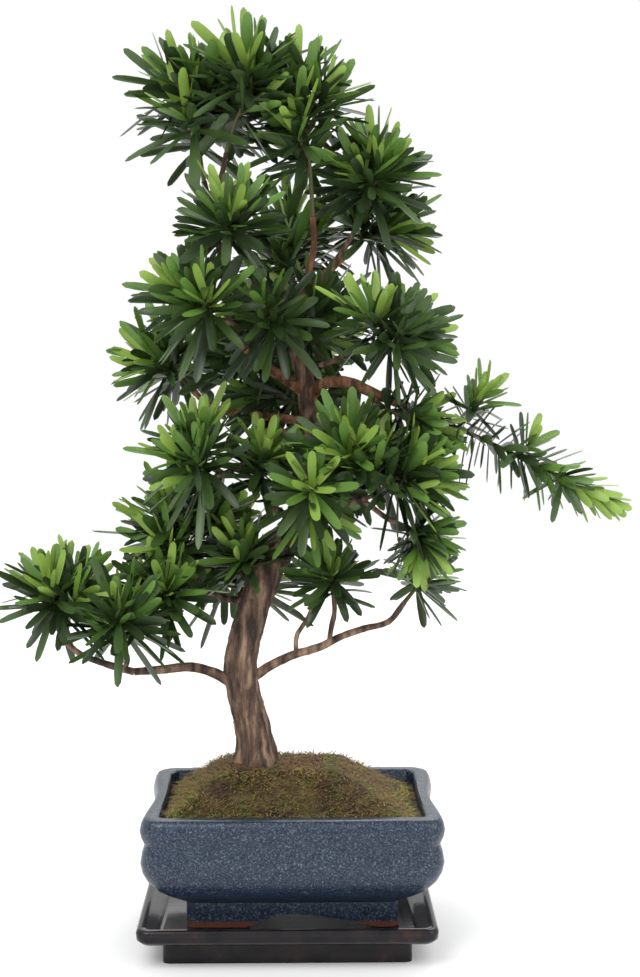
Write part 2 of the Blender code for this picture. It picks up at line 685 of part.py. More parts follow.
def plan_ring(width, depth, corner, height, centre_x=0.0, pull=0.0):
    """A rounded rectangle seen from above. pull draws its sides into gentle waves."""
    straight_x, straight_y = width / 2 - corner, depth / 2 - corner
    points = []
    for quarter in range(4):
        sign_x = 1 if quarter in (0, 3) else -1
        sign_y = 1 if quarter in (0, 1) else -1
        for step in range(CORNER_STEPS + 1):
            angle = math.pi / 2 * (quarter + step / CORNER_STEPS)
            points.append((sign_x * straight_x + corner * math.cos(angle),
                           sign_y * straight_y + corner * math.sin(angle)))
        if quarter % 2 == 0:
            points.append((0.0, sign_y * (depth / 2 + pull * POT_BOW)))
            continue
        for share in SIDE_SHARES:
            x = sign_x * (width / 2 - pull * POT_PULL_IN * math.cos(math.pi / 2 * share) ** 2)
            points.append((x, sign_y * share * straight_y))
    return [Vector((centre_x + x, y, height)) for x, y in points]


def build_saucer():
    """The drip saucer: a solid foot, a rounded lip and a shallow recess."""
    levels = (
        # height, inset from the widest, corner
        (0.0, 17.0, 5.0), (SAUCER_FOOT_HEIGHT - 1.0, 17.0, 5.0), (SAUCER_FOOT_HEIGHT, 15.0, 5.0),
        (SAUCER_FOOT_HEIGHT + 0.6, 3.2, 7.0), (SAUCER_FOOT_HEIGHT + 3.6, 0.4, SAUCER_CORNER),
        (SAUCER_HEIGHT - 2.4, 0.0, SAUCER_CORNER), (SAUCER_HEIGHT - 0.4, 1.0, SAUCER_CORNER),
        (SAUCER_HEIGHT, 2.2, 7.0), (SAUCER_HEIGHT, 5.0, 6.0), (SAUCER_HEIGHT - 1.4, 6.4, 5.5),
        (SAUCER_FLOOR + 1.6, 12.0, 5.0), (SAUCER_FLOOR, 14.5, 5.0),
    )
    bm = bmesh.new()
    skin(bm, [plan_ring(SAUCER_WIDTH - 2 * inset, SAUCER_DEPTH - 2 * inset, corner, height)
              for height, inset, corner in levels])
    return new_object("drip_saucer", bm, "saucer_glaze", smooth_deg=40)


# Pot wall from the foot up, as height, inset from the widest, corner and share of the waves
POT_OUTSIDE = (
    (POT_BASE, FOOT_INSET, 6.0, 0.0), (FOOT_TOP - 1.0, FOOT_INSET, 6.0, 0.0),
    (FOOT_TOP + 1.5, 26.0, 8.0, 0.1), (45.0, 17.5, 11.0, 0.4), (50.0, 10.5, 14.0, 0.7),
    (57.0, 4.6, 16.0, 1.0), (64.0, 1.4, 16.0, 1.0),
    (71.0, 0.3, POT_CORNER, 1.0), (78.0, 1.4, POT_CORNER, 1.0), (83.0, 3.0, POT_CORNER, 1.0),
    (88.5, 0.8, POT_CORNER, 1.0), (93.5, 0.0, POT_CORNER, 1.0), (98.5, 1.2, 14.0, 1.0),
    (101.2, 3.0, 12.0, 0.9), (POT_RIM, 5.0, 11.0, 0.8),
)
POT_INSIDE = (
    (POT_RIM, 12.0, 6.0, 0.3), (100.5, 13.4, 6.0, 0.2), (72.0, 11.5, 10.0, 0.2), (56.0, 16.0, 12.0, 0.0),
    (47.0, 28.0, 10.0, 0.0),
)


def pot_ring(height, inset, corner, waves, shrink=0.0):
    """One level of the pot's wall."""
    inset += shrink
    return plan_ring(POT_WIDTH - 2 * inset, POT_DEPTH - 2 * inset, corner, height, POT_X, waves)


def build_pot():
    """The pot: a lobed wall, a flat rim, a hollow inside and a foot with a low arch through it."""
    bm = bmesh.new()
    skin(bm, [pot_ring(*level) for level in POT_OUTSIDE + POT_INSIDE])
    pot = new_object("pot", bm, "pot_glaze", smooth_deg=40)
    arch = bmesh.new()
    outline = [(ARCH_LEFT, POT_BASE - 2.0)]
    for step in range(9):
        share = step / 8
        x = ARCH_LEFT + (ARCH_RIGHT - ARCH_LEFT) * share
        edge = ARCH_LEFT if x < ARCH_PEAK else ARCH_RIGHT
        rise = math.sin(math.pi / 2 * (x - edge) / (ARCH_PEAK - edge))
        outline.append((x, POT_BASE + ARCH_HEIGHT * rise))
    outline.append((ARCH_RIGHT, POT_BASE - 2.0))
    half = POT_DEPTH / 2 - FOOT_INSET + 6.0
    skin(arch, [[(POT_X + x, y, z) for x, z in outline] for y in (-half, half)])
    cutter = new_object("arch_cutter", arch, "pot_glaze")
    applied(pot, "BOOLEAN", operation="DIFFERENCE", solver="EXACT", object=cutter)
    remove(cutter)
    return pot


def soil_edge(point):
    """Height of the soil where it meets the pot's wall: higher in front than behind."""
    share = 0.5 + point.y / POT_DEPTH
    return SOIL_EDGE_FRONT + (SOIL_EDGE_BACK - SOIL_EDGE_FRONT) * share


def build_soil():
    """The moss-covered mound that fills the pot, flat on top where the trunk stands."""
    bm = bmesh.new()
    floor, low, high = POT_INSIDE[4], POT_INSIDE[3], POT_INSIDE[2]
    rings = [pot_ring(floor[0] + GAP, *floor[1:], shrink=GAP), pot_ring(*low, shrink=GAP),
             pot_ring(*high, shrink=GAP)]
    wall = pot_ring(*POT_INSIDE[1], shrink=GAP)
    rings.append([Vector((point.x, point.y, soil_edge(point))) for point in wall])
    for share in (0.86, 0.66, 0.5, SOIL_FLAT + 0.06, SOIL_FLAT):
        climb = (1.0 - share) / (1.0 - SOIL_FLAT)
        climb = climb * climb * (3 - 2 * climb)
        ring = []
        for point in wall:
            x = SOIL_X + (point.x - SOIL_X) * share
            y = SOIL_Y + (point.y - SOIL_Y) * share
            ring.append(Vector((x, y, soil_edge(point) + (SOIL_TOP - soil_edge(point)) * climb)))
        rings.append(ring)
    skin(bm, rings)
    return new_object("soil_mound", bm, "soil", smooth_deg=40)


def main():
    """Clears the scene and builds the saucer, pot, soil, limbs and foliage."""
    for leftover in list(bpy.data.objects):
        bpy.data.objects.remove(leftover)
    build_saucer()
    build_pot()
    build_soil()
    build_foliage(build_limbs())


if __name__ == "__main__":
    main()
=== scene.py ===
"""Looks of a buddhist pine bonsai in its glazed pot and drip saucer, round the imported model.

Sizes are millimetres and meshes are metres. The limbs and foliage masses follow the rule of the
part's own source: the same places, seeds and clearances, carried to finer twigs and full rosettes.
"""

import json
import logging
import math
import random
from dataclasses import dataclass, field
from enum import Enum
from typing import Callable, Optional

import bmesh
import bpy
import numpy as np
from mathutils import Matrix, Vector, noise

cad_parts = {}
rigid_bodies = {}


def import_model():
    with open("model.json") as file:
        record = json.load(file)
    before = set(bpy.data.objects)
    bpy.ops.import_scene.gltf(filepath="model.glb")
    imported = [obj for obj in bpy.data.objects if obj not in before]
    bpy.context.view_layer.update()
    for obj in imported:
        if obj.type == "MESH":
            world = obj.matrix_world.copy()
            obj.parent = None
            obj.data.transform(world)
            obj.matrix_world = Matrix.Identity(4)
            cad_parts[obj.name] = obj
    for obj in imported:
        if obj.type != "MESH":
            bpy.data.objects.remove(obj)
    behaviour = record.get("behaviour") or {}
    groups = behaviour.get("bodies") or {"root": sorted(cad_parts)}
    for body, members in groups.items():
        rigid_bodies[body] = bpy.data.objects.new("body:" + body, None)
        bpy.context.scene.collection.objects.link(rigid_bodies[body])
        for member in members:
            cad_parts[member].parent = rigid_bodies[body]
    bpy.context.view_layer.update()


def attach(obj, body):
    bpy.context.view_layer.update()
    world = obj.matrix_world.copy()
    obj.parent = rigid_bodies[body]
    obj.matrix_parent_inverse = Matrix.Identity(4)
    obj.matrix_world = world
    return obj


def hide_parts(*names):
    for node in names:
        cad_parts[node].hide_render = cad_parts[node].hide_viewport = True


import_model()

LOG = logging.getLogger("bonsai")
MM = 0.001
GAP = 0.3
GOLDEN = math.radians(137.5)
FULL_TURN = 2 * math.pi
UP = Vector((0.0, 0.0, 1.0))
NO_LIFT = Vector((0.0, 0.0, 0.0))

# Edges sharper than this, in degrees, stay sharp
SOFT_EDGE = 80.0
CRISP_EDGE = 50.0

# Sizes shared with the part's source
POT_X = 3.5
POT_WIDTH = 206.0
POT_DEPTH = 154.0
POT_BASE = 20.3
POT_RIM = 102.0
POT_CORNER = 15.0
POT_PULL_IN = 4.5
POT_BOW = 1.2
FOOT_TOP = 38.5
FOOT_INSET = 30.0
SOIL_TOP = 123.7
SOIL_X = -6.0
SOIL_Y = 3.0
SOIL_FLAT = 0.34
TRUNK_CUT = 124.0
ROOT_FLARE = 0.30
FLARE_HEIGHT = 22.0
BUTTRESSES = 3
STATION = 16.0
TRUNK_STATION = 14.0
TRUNK_SHARES = (0, 0.45, 0.85, 1)
TRUNK_MIDDLE = 10.75
TRUNK_UPPER = 6.6
FEWEST_STATIONS = 4
CURVE_STEPS = 8
TWIG_FOOT = 2.3
TWIG_TIP = 2.0
STEM_STATIONS = 5
SHOOT_STATIONS = 3
BEND = 0.45
STEM_LEVEL = 0.4
SHOOT_SPAN = (0.2, 0.9)
SHOOT_OPENING = (48, 66)
SHOOT_LENGTHS = (0.8, 1.1)
SHOOT_SHORTENING = 0.35
HEADING_LIFT = 0.4
END_LIFT = 0.35
SHOOT_TRIES = 6
SHOOT_NEXT_TRY = math.radians(55)
SHOOT_ROOM = 1.5
ROD_SAMPLES = 5
# Points closer than this are one
MERGED = 1e-4
# A place on a path stays this far below its number of points, so that a stretch lies ahead
STRETCH_AHEAD = 1.001

Path = list[Vector]
Colour = tuple[float, float, float]
BMesh = bmesh.types.BMesh
Material = bpy.types.Material
Mesh = bpy.types.Mesh
Socket = bpy.types.NodeSocket


@dataclass(frozen=True)
class Limb:
    """A trunk or bough: the places its axis passes, from foot to tip, and its thickness."""
    name: str
    parent: str
    places: tuple
    foot: float
    tip: float
    on_tip: bool = False
    hue: str = "bark"


@dataclass(frozen=True)
class Mass:
    """A mass of foliage that grows from one stem, on a bough's tip or on the trunk."""
    name: str
    limb: str
    tip: tuple
    spread: float
    shoots: int
    rise: float = 0.5
    leaf: float = 47.0
    clothed: float = 0.35
    span: tuple = SHOOT_SPAN
    seed: int = 1
    root: tuple = ()


LIMBS = (
    Limb("trunk", "", ((-21, 0, TRUNK_CUT), (-24, 0, 149), (-31, -2, 175), (-32, -4, 202),
         (-23, -2, 237), (-12, 2, 264), (0, 3, 283), (11, 0, 307), (19, -4, 342), (15, 1, 377),
         (10, 4, 405), (1, 3, 437)), 24, 10),
    Limb("low_left_bough", "trunk", ((-33, -2, 176), (-46, -6, 186), (-58, -10, 194),
         (-80, -15, 194), (-106, -20, 193)), 8, 5.4),
    Limb("low_left_outer_bough", "low_left_bough", ((-106, -20, 193), (-121, -24, 198),
         (-140, -28, 206), (-152, -30, 215), (-157, -30, 225)), 5.4, 3.6, on_tip=True),
    Limb("low_left_stalk", "low_left_outer_bough", ((-113, -21, 195), (-110, -26, 202),
         (-112, -38, 218)), 3.6, 3.2),
    Limb("low_right_bough", "trunk", ((-26, -3, 184), (-16, -6, 192), (3, -9, 202), (27, -6, 209),
         (46, 0, 218), (64, 6, 220), (78, 10, 227), (83, 12, 236)), 7, 3.8),
    Limb("low_right_inner_twig", "low_right_bough", ((6, -9, 203), (7, -12, 218), (12, -12, 224),
         (16, -14, 234), (19, -14, 241)), 3.4, 2.8),
    Limb("low_right_outer_twig", "low_right_bough", ((29, -6, 210), (31, -9, 223), (33, -13, 236),
         (32, -15, 246)), 3.8, 3.2),
    Limb("middle_left_bough", "trunk", ((-22, -2, 240), (-36, 4, 239), (-52, 9, 243),
         (-60, 10, 249), (-65, 8, 257)), 6, 3.8),
    Limb("middle_left_lower_bough", "middle_left_bough", ((-53, 9, 244), (-63, 2, 242),
         (-71, -5, 242), (-79, -14, 242)), 3.6, 3),
    Limb("left_spur", "trunk", ((7, 0, 292), (-4, -9, 303), (-13, -14, 310), (-17, -18, 318)), 5.6,
         3.8),
    Limb("left_curling_bough", "trunk", ((15, -1, 364), (0, -8, 359), (-14, -17, 351),
         (-27, -25, 344), (-33, -30, 335), (-39, -34, 329), (-48, -38, 330)), 6, 3.6),
    Limb("left_long_bough", "trunk", ((17, 0, 366), (-4, 10, 367), (-25, 22, 370), (-49, 34, 372),
         (-63, 42, 381), (-72, 46, 390)), 7, 4, hue="young_bark"),
    Limb("left_rising_bough", "trunk", ((13, 2, 385), (-2, -6, 396), (-17, -14, 406),
         (-28, -20, 416)), 8.4, 6.4, hue="young_bark"),
    Limb("left_leader", "left_rising_bough", ((-28, -20, 416), (-35, -20, 427), (-41, -16, 449),
         (-44, -10, 475), (-51, -3, 504), (-57, 4, 531)), 6.4, 4, on_tip=True),
    Limb("left_shoulder_stalk", "left_leader", ((-43, -11, 470), (-40, -20, 478), (-38, -28, 486)),
         3.6, 3.2),
    Limb("top_middle_bough", "left_leader", ((-52, -2, 510), (-46, -7, 528), (-41, -12, 549)), 4,
         3.4),
    Limb("left_upper_bough", "trunk", ((4, 4, 426), (-11, -8, 430), (-20, -17, 430),
         (-32, -27, 431), (-43, -36, 435)), 6.4, 3.8),
    Limb("right_leader", "trunk", ((1, 3, 437), (11, 10, 449), (22, 18, 463), (35, 28, 476),
         (45, 35, 485)), 9, 4.4, on_tip=True, hue="young_bark"),
    Limb("top_leader", "right_leader", ((10, 9, 449), (15, 8, 468), (19, 4, 489), (18, 0, 507)),
         5.4, 4, hue="young_bark"),
    Limb("right_shoulder_bough", "right_leader", ((29, 24, 471), (41, 24, 487), (51, 20, 505),
         (56, 16, 516)), 4.2, 3.4),
    Limb("right_arm", "trunk", ((15, 1, 383), (25, -6, 391), (34, -11, 395), (45, -16, 392),
         (61, -21, 385), (89, -27, 374), (110, -30, 365)), 9.4, 5.2, hue="young_bark"),
    Limb("right_arm_stalk", "right_arm", ((54, -19, 388), (59, -28, 382), (64, -36, 378)), 3.8,
         3.2),
    Limb("right_upper_bough", "trunk", ((10, 4, 403), (24, -8, 405), (39, -24, 411),
         (51, -38, 416)), 5, 3.4),
    Limb("right_middle_bough", "trunk", ((6, 1, 288), (20, -10, 290), (27, -20, 300),
         (39, -34, 311), (54, -44, 316)), 6.6, 4.4),
    Limb("right_middle_stalk", "right_middle_bough", ((35, -30, 308), (41, -36, 319),
         (43, -40, 330)), 3.8, 3.2),
    Limb("right_drooping_bough", "right_middle_bough", ((50, -41, 315), (61, -46, 307),
         (71, -46, 300), (79, -46, 297)), 3.8, 3.2),
)

MASSES = (
    Mass("far_left_foliage", "low_left_outer_bough", (-143, -34, 247), 22, 3, rise=0.4, leaf=44),
    Mass("low_left_foliage", "low_left_stalk", (-113, -42, 236), 14, 2, rise=0.2),
    Mass("low_right_far_foliage", "low_right_bough", (101, 18, 258), 12, 1, rise=0.6, leaf=36),
    Mass("low_right_rosette", "low_right_outer_twig", (31, -17, 260), 11, 2, rise=0.2, leaf=38),
    Mass("middle_left_foliage", "middle_left_bough", (-72, 2, 284), 32, 4, rise=0.5),
    Mass("middle_left_lower_foliage", "middle_left_lower_bough", (-91, -20, 249), 13, 2, rise=0.4,
         leaf=42),
    Mass("left_spur_foliage", "left_spur", (-17, -20, 339), 18, 2, rise=0.5, leaf=36),
    Mass("left_lower_foliage", "left_curling_bough", (-66, -42, 341), 24, 3, rise=0.4, leaf=42),
    Mass("left_middle_foliage", "left_long_bough", (-86, 48, 405), 24, 3, rise=0.3, leaf=44),
    Mass("top_left_foliage", "left_leader", (-60, 8, 596), 26, 4, rise=0.6, leaf=50),
    Mass("left_shoulder_foliage", "left_shoulder_stalk", (-39, -32, 498), 16, 2, rise=0.5),
    Mass("top_middle_foliage", "top_middle_bough", (-16, -16, 604), 20, 2, rise=0.6, leaf=50),
    Mass("left_upper_foliage", "left_upper_bough", (-67, -44, 448), 18, 2, rise=0.4),
    Mass("right_wing_foliage", "right_leader", (69, 40, 504), 20, 2, rise=0.1),
    Mass("top_right_foliage", "top_leader", (10, -2, 598), 28, 4, rise=0.5),
    Mass("right_shoulder_foliage", "right_shoulder_bough", (58, 12, 536), 20, 3, rise=0.3),
    Mass("right_arm_outer_foliage", "right_arm", (217, -36, 313), 20, 1, rise=1.0, leaf=31,
         clothed=0.97, span=(0.02, 0.10)),
    Mass("right_arm_inner_foliage", "right_arm_stalk", (105, -40, 362), 12, 1, rise=-0.3, leaf=32,
         clothed=0.9),
    Mass("right_upper_foliage", "right_upper_bough", (77, -48, 428), 24, 3, rise=0.3, leaf=42),
    Mass("right_middle_foliage", "right_middle_bough", (80, -52, 338), 24, 3, rise=0.2, leaf=44),
    Mass("right_middle_inner_foliage", "right_middle_stalk", (47, -46, 346), 18, 2, rise=0.2),
    Mass("right_drooping_foliage", "right_drooping_bough", (94, -46, 285), 10, 2, rise=-0.2,
         leaf=34, clothed=0.8),
    Mass("trunk_left_foliage", "trunk", (-33, -16, 280), 12, 1, rise=0.6, leaf=38,
         root=(-18, -1, 250)),
    Mass("trunk_front_foliage", "trunk", (17, -62, 324), 16, 2, rise=0.2, leaf=42,
         root=(11, 0, 308)),
    Mass("left_inner_foliage", "trunk", (-18, 42, 385), 20, 2, rise=0.3, leaf=40,
         root=(15, 1, 377)),
    Mass("trunk_right_foliage", "trunk", (26, 24, 445), 14, 2, rise=0.3, root=(7, 4, 414)),
    Mass("fork_foliage", "trunk", (-16, -36, 446), 12, 1, rise=0.5, root=(5, 3, 419)),
    Mass("back_lower_foliage", "trunk", (-46, 75, 268), 28, 3, rise=0.5, root=(-26, -3, 226)),
    Mass("back_middle_foliage", "trunk", (48, 80, 336), 28, 3, rise=0.2, root=(19, -3, 346)),
    Mass("back_upper_foliage", "trunk", (-34, 82, 424), 30, 3, rise=0.5, root=(12, 3, 394)),
    Mass("back_top_foliage", "trunk", (2, 76, 512), 28, 3, rise=0.5, root=(4, 4, 422)),
)

SAUCER_WIDTH = 204.0
SAUCER_DEPTH = 155.0
SAUCER_HEIGHT = 28.0
SAUCER_FOOT_HEIGHT = 17.0
SAUCER_FLOOR = 20.0
SAUCER_CORNER = 8.0
ARCH_LEFT = -32.0
ARCH_PEAK = -2.0
ARCH_RIGHT = 58.0
ARCH_HEIGHT = 9.0
SOIL_FRONT = 98.0
SOIL_BACK = 92.0
# Saucer wall from the foot up, as height, inset from the widest, and corner
SAUCER_LEVELS = (
    (0.0, 17.0, 5.0), (SAUCER_FOOT_HEIGHT - 1.0, 17.0, 5.0), (SAUCER_FOOT_HEIGHT, 15.0, 5.0),
    (SAUCER_FOOT_HEIGHT + 0.6, 3.2, 7.0), (SAUCER_FOOT_HEIGHT + 3.6, 0.4, SAUCER_CORNER),
    (SAUCER_HEIGHT - 2.4, 0.0, SAUCER_CORNER), (SAUCER_HEIGHT - 0.4, 1.0, SAUCER_CORNER),
    (SAUCER_HEIGHT, 2.2, 7.0), (SAUCER_HEIGHT, 5.0, 6.0), (SAUCER_HEIGHT - 1.4, 6.4, 5.5),
    (SAUCER_FLOOR + 1.6, 12.0, 5.0), (SAUCER_FLOOR, 14.5, 5.0),
)
# Pot wall from the foot up, as height, inset from the widest, corner and share of the waves
POT_OUTSIDE = (
    (POT_BASE, FOOT_INSET, 6.0, 0.0), (FOOT_TOP - 1.0, FOOT_INSET, 6.0, 0.0),
    (FOOT_TOP + 1.5, 26.0, 8.0, 0.1), (45.0, 17.5, 11.0, 0.4), (50.0, 10.5, 14.0, 0.7),
    (57.0, 4.6, 16.0, 1.0), (64.0, 1.4, 16.0, 1.0), (71.0, 0.3, POT_CORNER, 1.0),
    (78.0, 1.4, POT_CORNER, 1.0), (83.0, 3.0, POT_CORNER, 1.0), (88.5, 0.8, POT_CORNER, 1.0),
    (93.5, 0.0, POT_CORNER, 1.0), (98.5, 1.2, 14.0, 1.0), (101.2, 3.0, 12.0, 0.9),
    (POT_RIM, 5.0, 11.0, 0.8),
)
POT_INSIDE = (
    (POT_RIM, 12.0, 6.0, 0.3), (100.5, 13.4, 6.0, 0.2), (72.0, 11.5, 10.0, 0.2),
    (56.0, 16.0, 12.0, 0.0), (47.0, 28.0, 10.0, 0.0),
)


class Age(Enum):
    """How old a leaf is, which sets its colour."""
    TIP = "tip"
    FRESH = "fresh"
    GROWN = "grown"
    OLD = "old"


@dataclass(frozen=True)
class Grain:
    """How the shared grain shows in a finish. Its gloss is the lowest roughness."""
    scale: float
    depth: float
    gloss: float
    uneven: float = 0.1


@dataclass(frozen=True)
class PlainFinish:
    """A finish of one colour, with an optional thin coat."""
    grain: Grain
    colour: Colour
    coat: float = 0.0
    coat_roughness: float = 0.25


@dataclass(frozen=True)
class PatchedFinish:
    """A finish whose colours follow a noise pattern, as stops of position and colour."""
    grain: Grain
    scale: float
    detail: float
    stops: tuple
    stretch: tuple = (1.0, 1.0, 1.0)
    coat: tuple = ()


def leaf_finish(colour: Colour, roughness: float, coat: float) -> PlainFinish:
    """The finish of one age of leaf."""
    return PlainFinish(Grain(scale=900.0, depth=0.25, gloss=roughness, uneven=0.12), colour, coat)


def bark_finish(dark: Colour, middle: Colour, pale: Colour) -> PatchedFinish:
    """Colours bark as upright flaking plates.

    Args:
        dark: the cracks' colour.
        middle: the plates' colour.
        pale: the patches' colour.

    Returns:
        The finish.
    """
    stops = ((0.36, dark), (0.50, middle), (0.66, pale))
    return PatchedFinish(Grain(scale=900.0, depth=0.8, gloss=0.78, uneven=0.15), scale=190.0,
                         detail=9.0, stops=stops, stretch=(1.0, 1.0, 0.22))


LEAF_FINISHES = {
    Age.TIP: leaf_finish((0.235, 0.370, 0.060), 0.42, 0.08),
    Age.FRESH: leaf_finish((0.105, 0.215, 0.034), 0.40, 0.15),
    Age.GROWN: leaf_finish((0.046, 0.092, 0.020), 0.36, 0.16),
    Age.OLD: leaf_finish((0.024, 0.046, 0.014), 0.34, 0.18),
}
TWIG_FINISH = PlainFinish(Grain(700.0, 0.5, 0.6), (0.090, 0.085, 0.030))
BARK = bark_finish((0.026, 0.015, 0.010), (0.105, 0.062, 0.040), (0.290, 0.190, 0.125))
YOUNG_BARK = bark_finish((0.070, 0.030, 0.015), (0.210, 0.090, 0.042), (0.370, 0.200, 0.110))
# Coats are weight, roughness and specular level
SLATE_GLAZE = PatchedFinish(
    Grain(520.0, 0.28, 0.24, 0.22), 780.0, 4.0,
    ((0.34, (0.003, 0.006, 0.014)), (0.49, (0.014, 0.024, 0.050)),
     (0.60, (0.036, 0.058, 0.092)), (0.70, (0.12, 0.15, 0.13))), coat=(0.12, 0.15, 0.35))
BLACK_GLAZE = PatchedFinish(
    Grain(260.0, 0.10, 0.08), 60.0, 5.0,
    ((0.35, (0.006, 0.006, 0.008)), (0.62, (0.016, 0.012, 0.013)),
     (0.80, (0.055, 0.022, 0.014))), coat=(0.12, 0.05, 0.18))
MOSSY_SOIL = PatchedFinish(
    Grain(1400.0, 1.0, 0.88), 75.0, 8.0,
    ((0.32, (0.022, 0.014, 0.008)), (0.46, (0.070, 0.042, 0.018)),
     (0.56, (0.110, 0.080, 0.026)), (0.66, (0.060, 0.085, 0.018))))
BARE_CLAY = (0.115, 0.040, 0.026)
CLAY_TOP = 0.0235
GLAZE_START = 0.0250


def preset(node: bpy.types.Node, **values: object) -> None:
    """Sets a node's unlinked inputs, named with an underscore for each space."""
    for name, value in values.items():
        node.inputs[name.replace("_", " ")].default_value = value


class Nodes:
    """Small helpers that add and wire shader nodes in one tree."""

    def __init__(self, tree: bpy.types.NodeTree) -> None:
        """Keeps the tree to work on."""
        self.tree = tree

    def add(self, kind: str, **values: object) -> bpy.types.Node:
        """Adds a node and sets its attributes.

        Args:
            kind: the node type's name without its "ShaderNode" prefix.
            values: attributes of the node.

        Returns:
            The new node.
        """
        node = self.tree.nodes.new("ShaderNode" + kind)
        for key, value in values.items():
            setattr(node, key, value)
        return node

    def wire(self, source: Socket, target: Socket) -> None:
        """Joins two sockets."""
        self.tree.links.new(source, target)

    def pattern(self, finish: PatchedFinish) -> Socket:
        """Adds the finish's noise on object coordinates, coloured by its stops.

        Args:
            finish: the finish that holds the noise's values and its stops.

        Returns:
            The colour's socket.
        """
        place, mapping = self.add("TexCoord"), self.add("Mapping")
        preset(mapping, Scale=finish.stretch)
        texture = self.add("TexNoise")
        preset(texture, Scale=finish.scale, Detail=finish.detail)
        self.wire(place.outputs["Object"], mapping.inputs["Vector"])
        self.wire(mapping.outputs["Vector"], texture.inputs["Vector"])
        ramp = self.add("ValToRGB")
        band = ramp.color_ramp.elements
        while len(band) < len(finish.stops):
            band.new(0.5)
        for element, (position, colour) in zip(band, finish.stops):
            element.position = position
            element.color = (*colour, 1.0)
        self.wire(texture.outputs["Fac"], ramp.inputs["Fac"])
        return ramp.outputs["Color"]


def grain_group() -> bpy.types.NodeTree:
    """Builds the shared group that gives fine relief and uneven gloss.

    Returns:
        The group, with Scale, Depth, Gloss and Unevenness inputs and Normal and Roughness outputs.
    """
    group = bpy.data.node_groups.new("surface_grain", "ShaderNodeTree")
    for name, value in (("Scale", 400.0), ("Depth", 0.3), ("Gloss", 0.5), ("Unevenness", 0.1)):
        socket = group.interface.new_socket(name, in_out="INPUT", socket_type="NodeSocketFloat")
        socket.default_value = value
    for name, kind in (("Normal", "NodeSocketVector"), ("Roughness", "NodeSocketFloat")):
        group.interface.new_socket(name, in_out="OUTPUT", socket_type=kind)
    nodes = Nodes(group)
    entry = group.nodes.new("NodeGroupInput")
    leave = group.nodes.new("NodeGroupOutput")
    place, texture = nodes.add("TexCoord"), nodes.add("TexNoise")
    preset(texture, Detail=5.0)
    nodes.wire(place.outputs["Object"], texture.inputs["Vector"])
    nodes.wire(entry.outputs["Scale"], texture.inputs["Scale"])
    bump = nodes.add("Bump")
    preset(bump, Distance=MM)
    nodes.wire(entry.outputs["Depth"], bump.inputs["Strength"])
    nodes.wire(texture.outputs["Fac"], bump.inputs["Height"])
    shift = nodes.add("Math", operation="MULTIPLY_ADD")
    nodes.wire(texture.outputs["Fac"], shift.inputs[0])
    nodes.wire(entry.outputs["Unevenness"], shift.inputs[1])
    nodes.wire(entry.outputs["Gloss"], shift.inputs[2])
    nodes.wire(bump.outputs["Normal"], leave.inputs["Normal"])
    nodes.wire(shift.outputs["Value"], leave.inputs["Roughness"])
    return group


@dataclass
class Finishes:
    """Makes each material of the object once."""
    grain: bpy.types.NodeTree = field(default_factory=grain_group)

    def start(self, name: str, grain: Grain) -> tuple:
        """Starts a material with the shared grain.

        Args:
            name: the material's name.
            grain: the grain's own values.

        Returns:
            The material, its shader node and the node helper.
        """
        made = bpy.data.materials.new(name)
        made.use_nodes = True
        nodes = Nodes(made.node_tree)
        shader = made.node_tree.nodes["Principled BSDF"]
        group = nodes.add("Group", node_tree=self.grain)
        preset(group, Scale=grain.scale, Depth=grain.depth, Gloss=grain.gloss,
               Unevenness=grain.uneven)
        for output in ("Normal", "Roughness"):
            nodes.wire(group.outputs[output], shader.inputs[output])
        return made, shader, nodes

    def plain(self, name: str, finish: PlainFinish) -> Material:
        """Makes a plain-coloured material.

        Args:
            name: the material's name.
            finish: its colour, grain and coat.

        Returns:
            The material.
        """
        made, shader, _ = self.start(name, finish.grain)
        preset(shader, Base_Color=(*finish.colour, 1.0))
        if finish.coat:
            preset(shader, Coat_Weight=finish.coat, Coat_Roughness=finish.coat_roughness)
        return made

    def patched(self, name: str, finish: PatchedFinish,
                foot: Optional[Callable] = None) -> Material:
        """Makes a material whose colours follow a noise pattern.

        Args:
            name: the material's name.
            finish: its pattern, grain and coat.
            foot: changes the pattern's colour near the ground.

        Returns:
            The material.
        """
        made, shader, nodes = self.start(name, finish.grain)
        colour = nodes.pattern(finish)
        nodes.wire(foot(nodes, colour) if foot else colour, shader.inputs["Base Color"])
        if finish.coat:
            weight, roughness, specular = finish.coat
            preset(shader, Coat_Weight=weight, Coat_Roughness=roughness,
                   Specular_IOR_Level=specular)
        return made


def clay_foot(nodes: Nodes, glaze: Socket) -> Socket:
    """Leaves a bare clay strip at the pot's lowest edge.

    Args:
        nodes: the node helper of the glaze's material.
        glaze: the socket of the glaze's colour.

    Returns:
        The socket of the colour with the strip.
    """
    place, parts = nodes.add("TexCoord"), nodes.add("SeparateXYZ")
    nodes.wire(place.outputs["Object"], parts.inputs["Vector"])
    height = nodes.add("MapRange")
    preset(height, From_Min=CLAY_TOP, From_Max=GLAZE_START)
    nodes.wire(parts.outputs["Z"], height.inputs["Value"])
    mix = nodes.add("Mix", data_type="RGBA")
    preset(mix, A=(*BARE_CLAY, 1.0))
    nodes.wire(height.outputs["Result"], mix.inputs["Factor"])
    nodes.wire(glaze, mix.inputs["B"])
    return mix.outputs["Result"]


def meshed(name: str, bm: BMesh, scale: float = MM) -> Mesh:
    """Writes a bmesh to a new mesh and frees it.

    Args:
        name: the mesh's name.
        bm: the shape.
        scale: metres in one of its units.

    Returns:
        The mesh.
    """
    bmesh.ops.scale(bm, vec=(scale, scale, scale), verts=bm.verts)
    mesh = bpy.data.meshes.new(name)
    bm.to_mesh(mesh)
    bm.free()
    return mesh


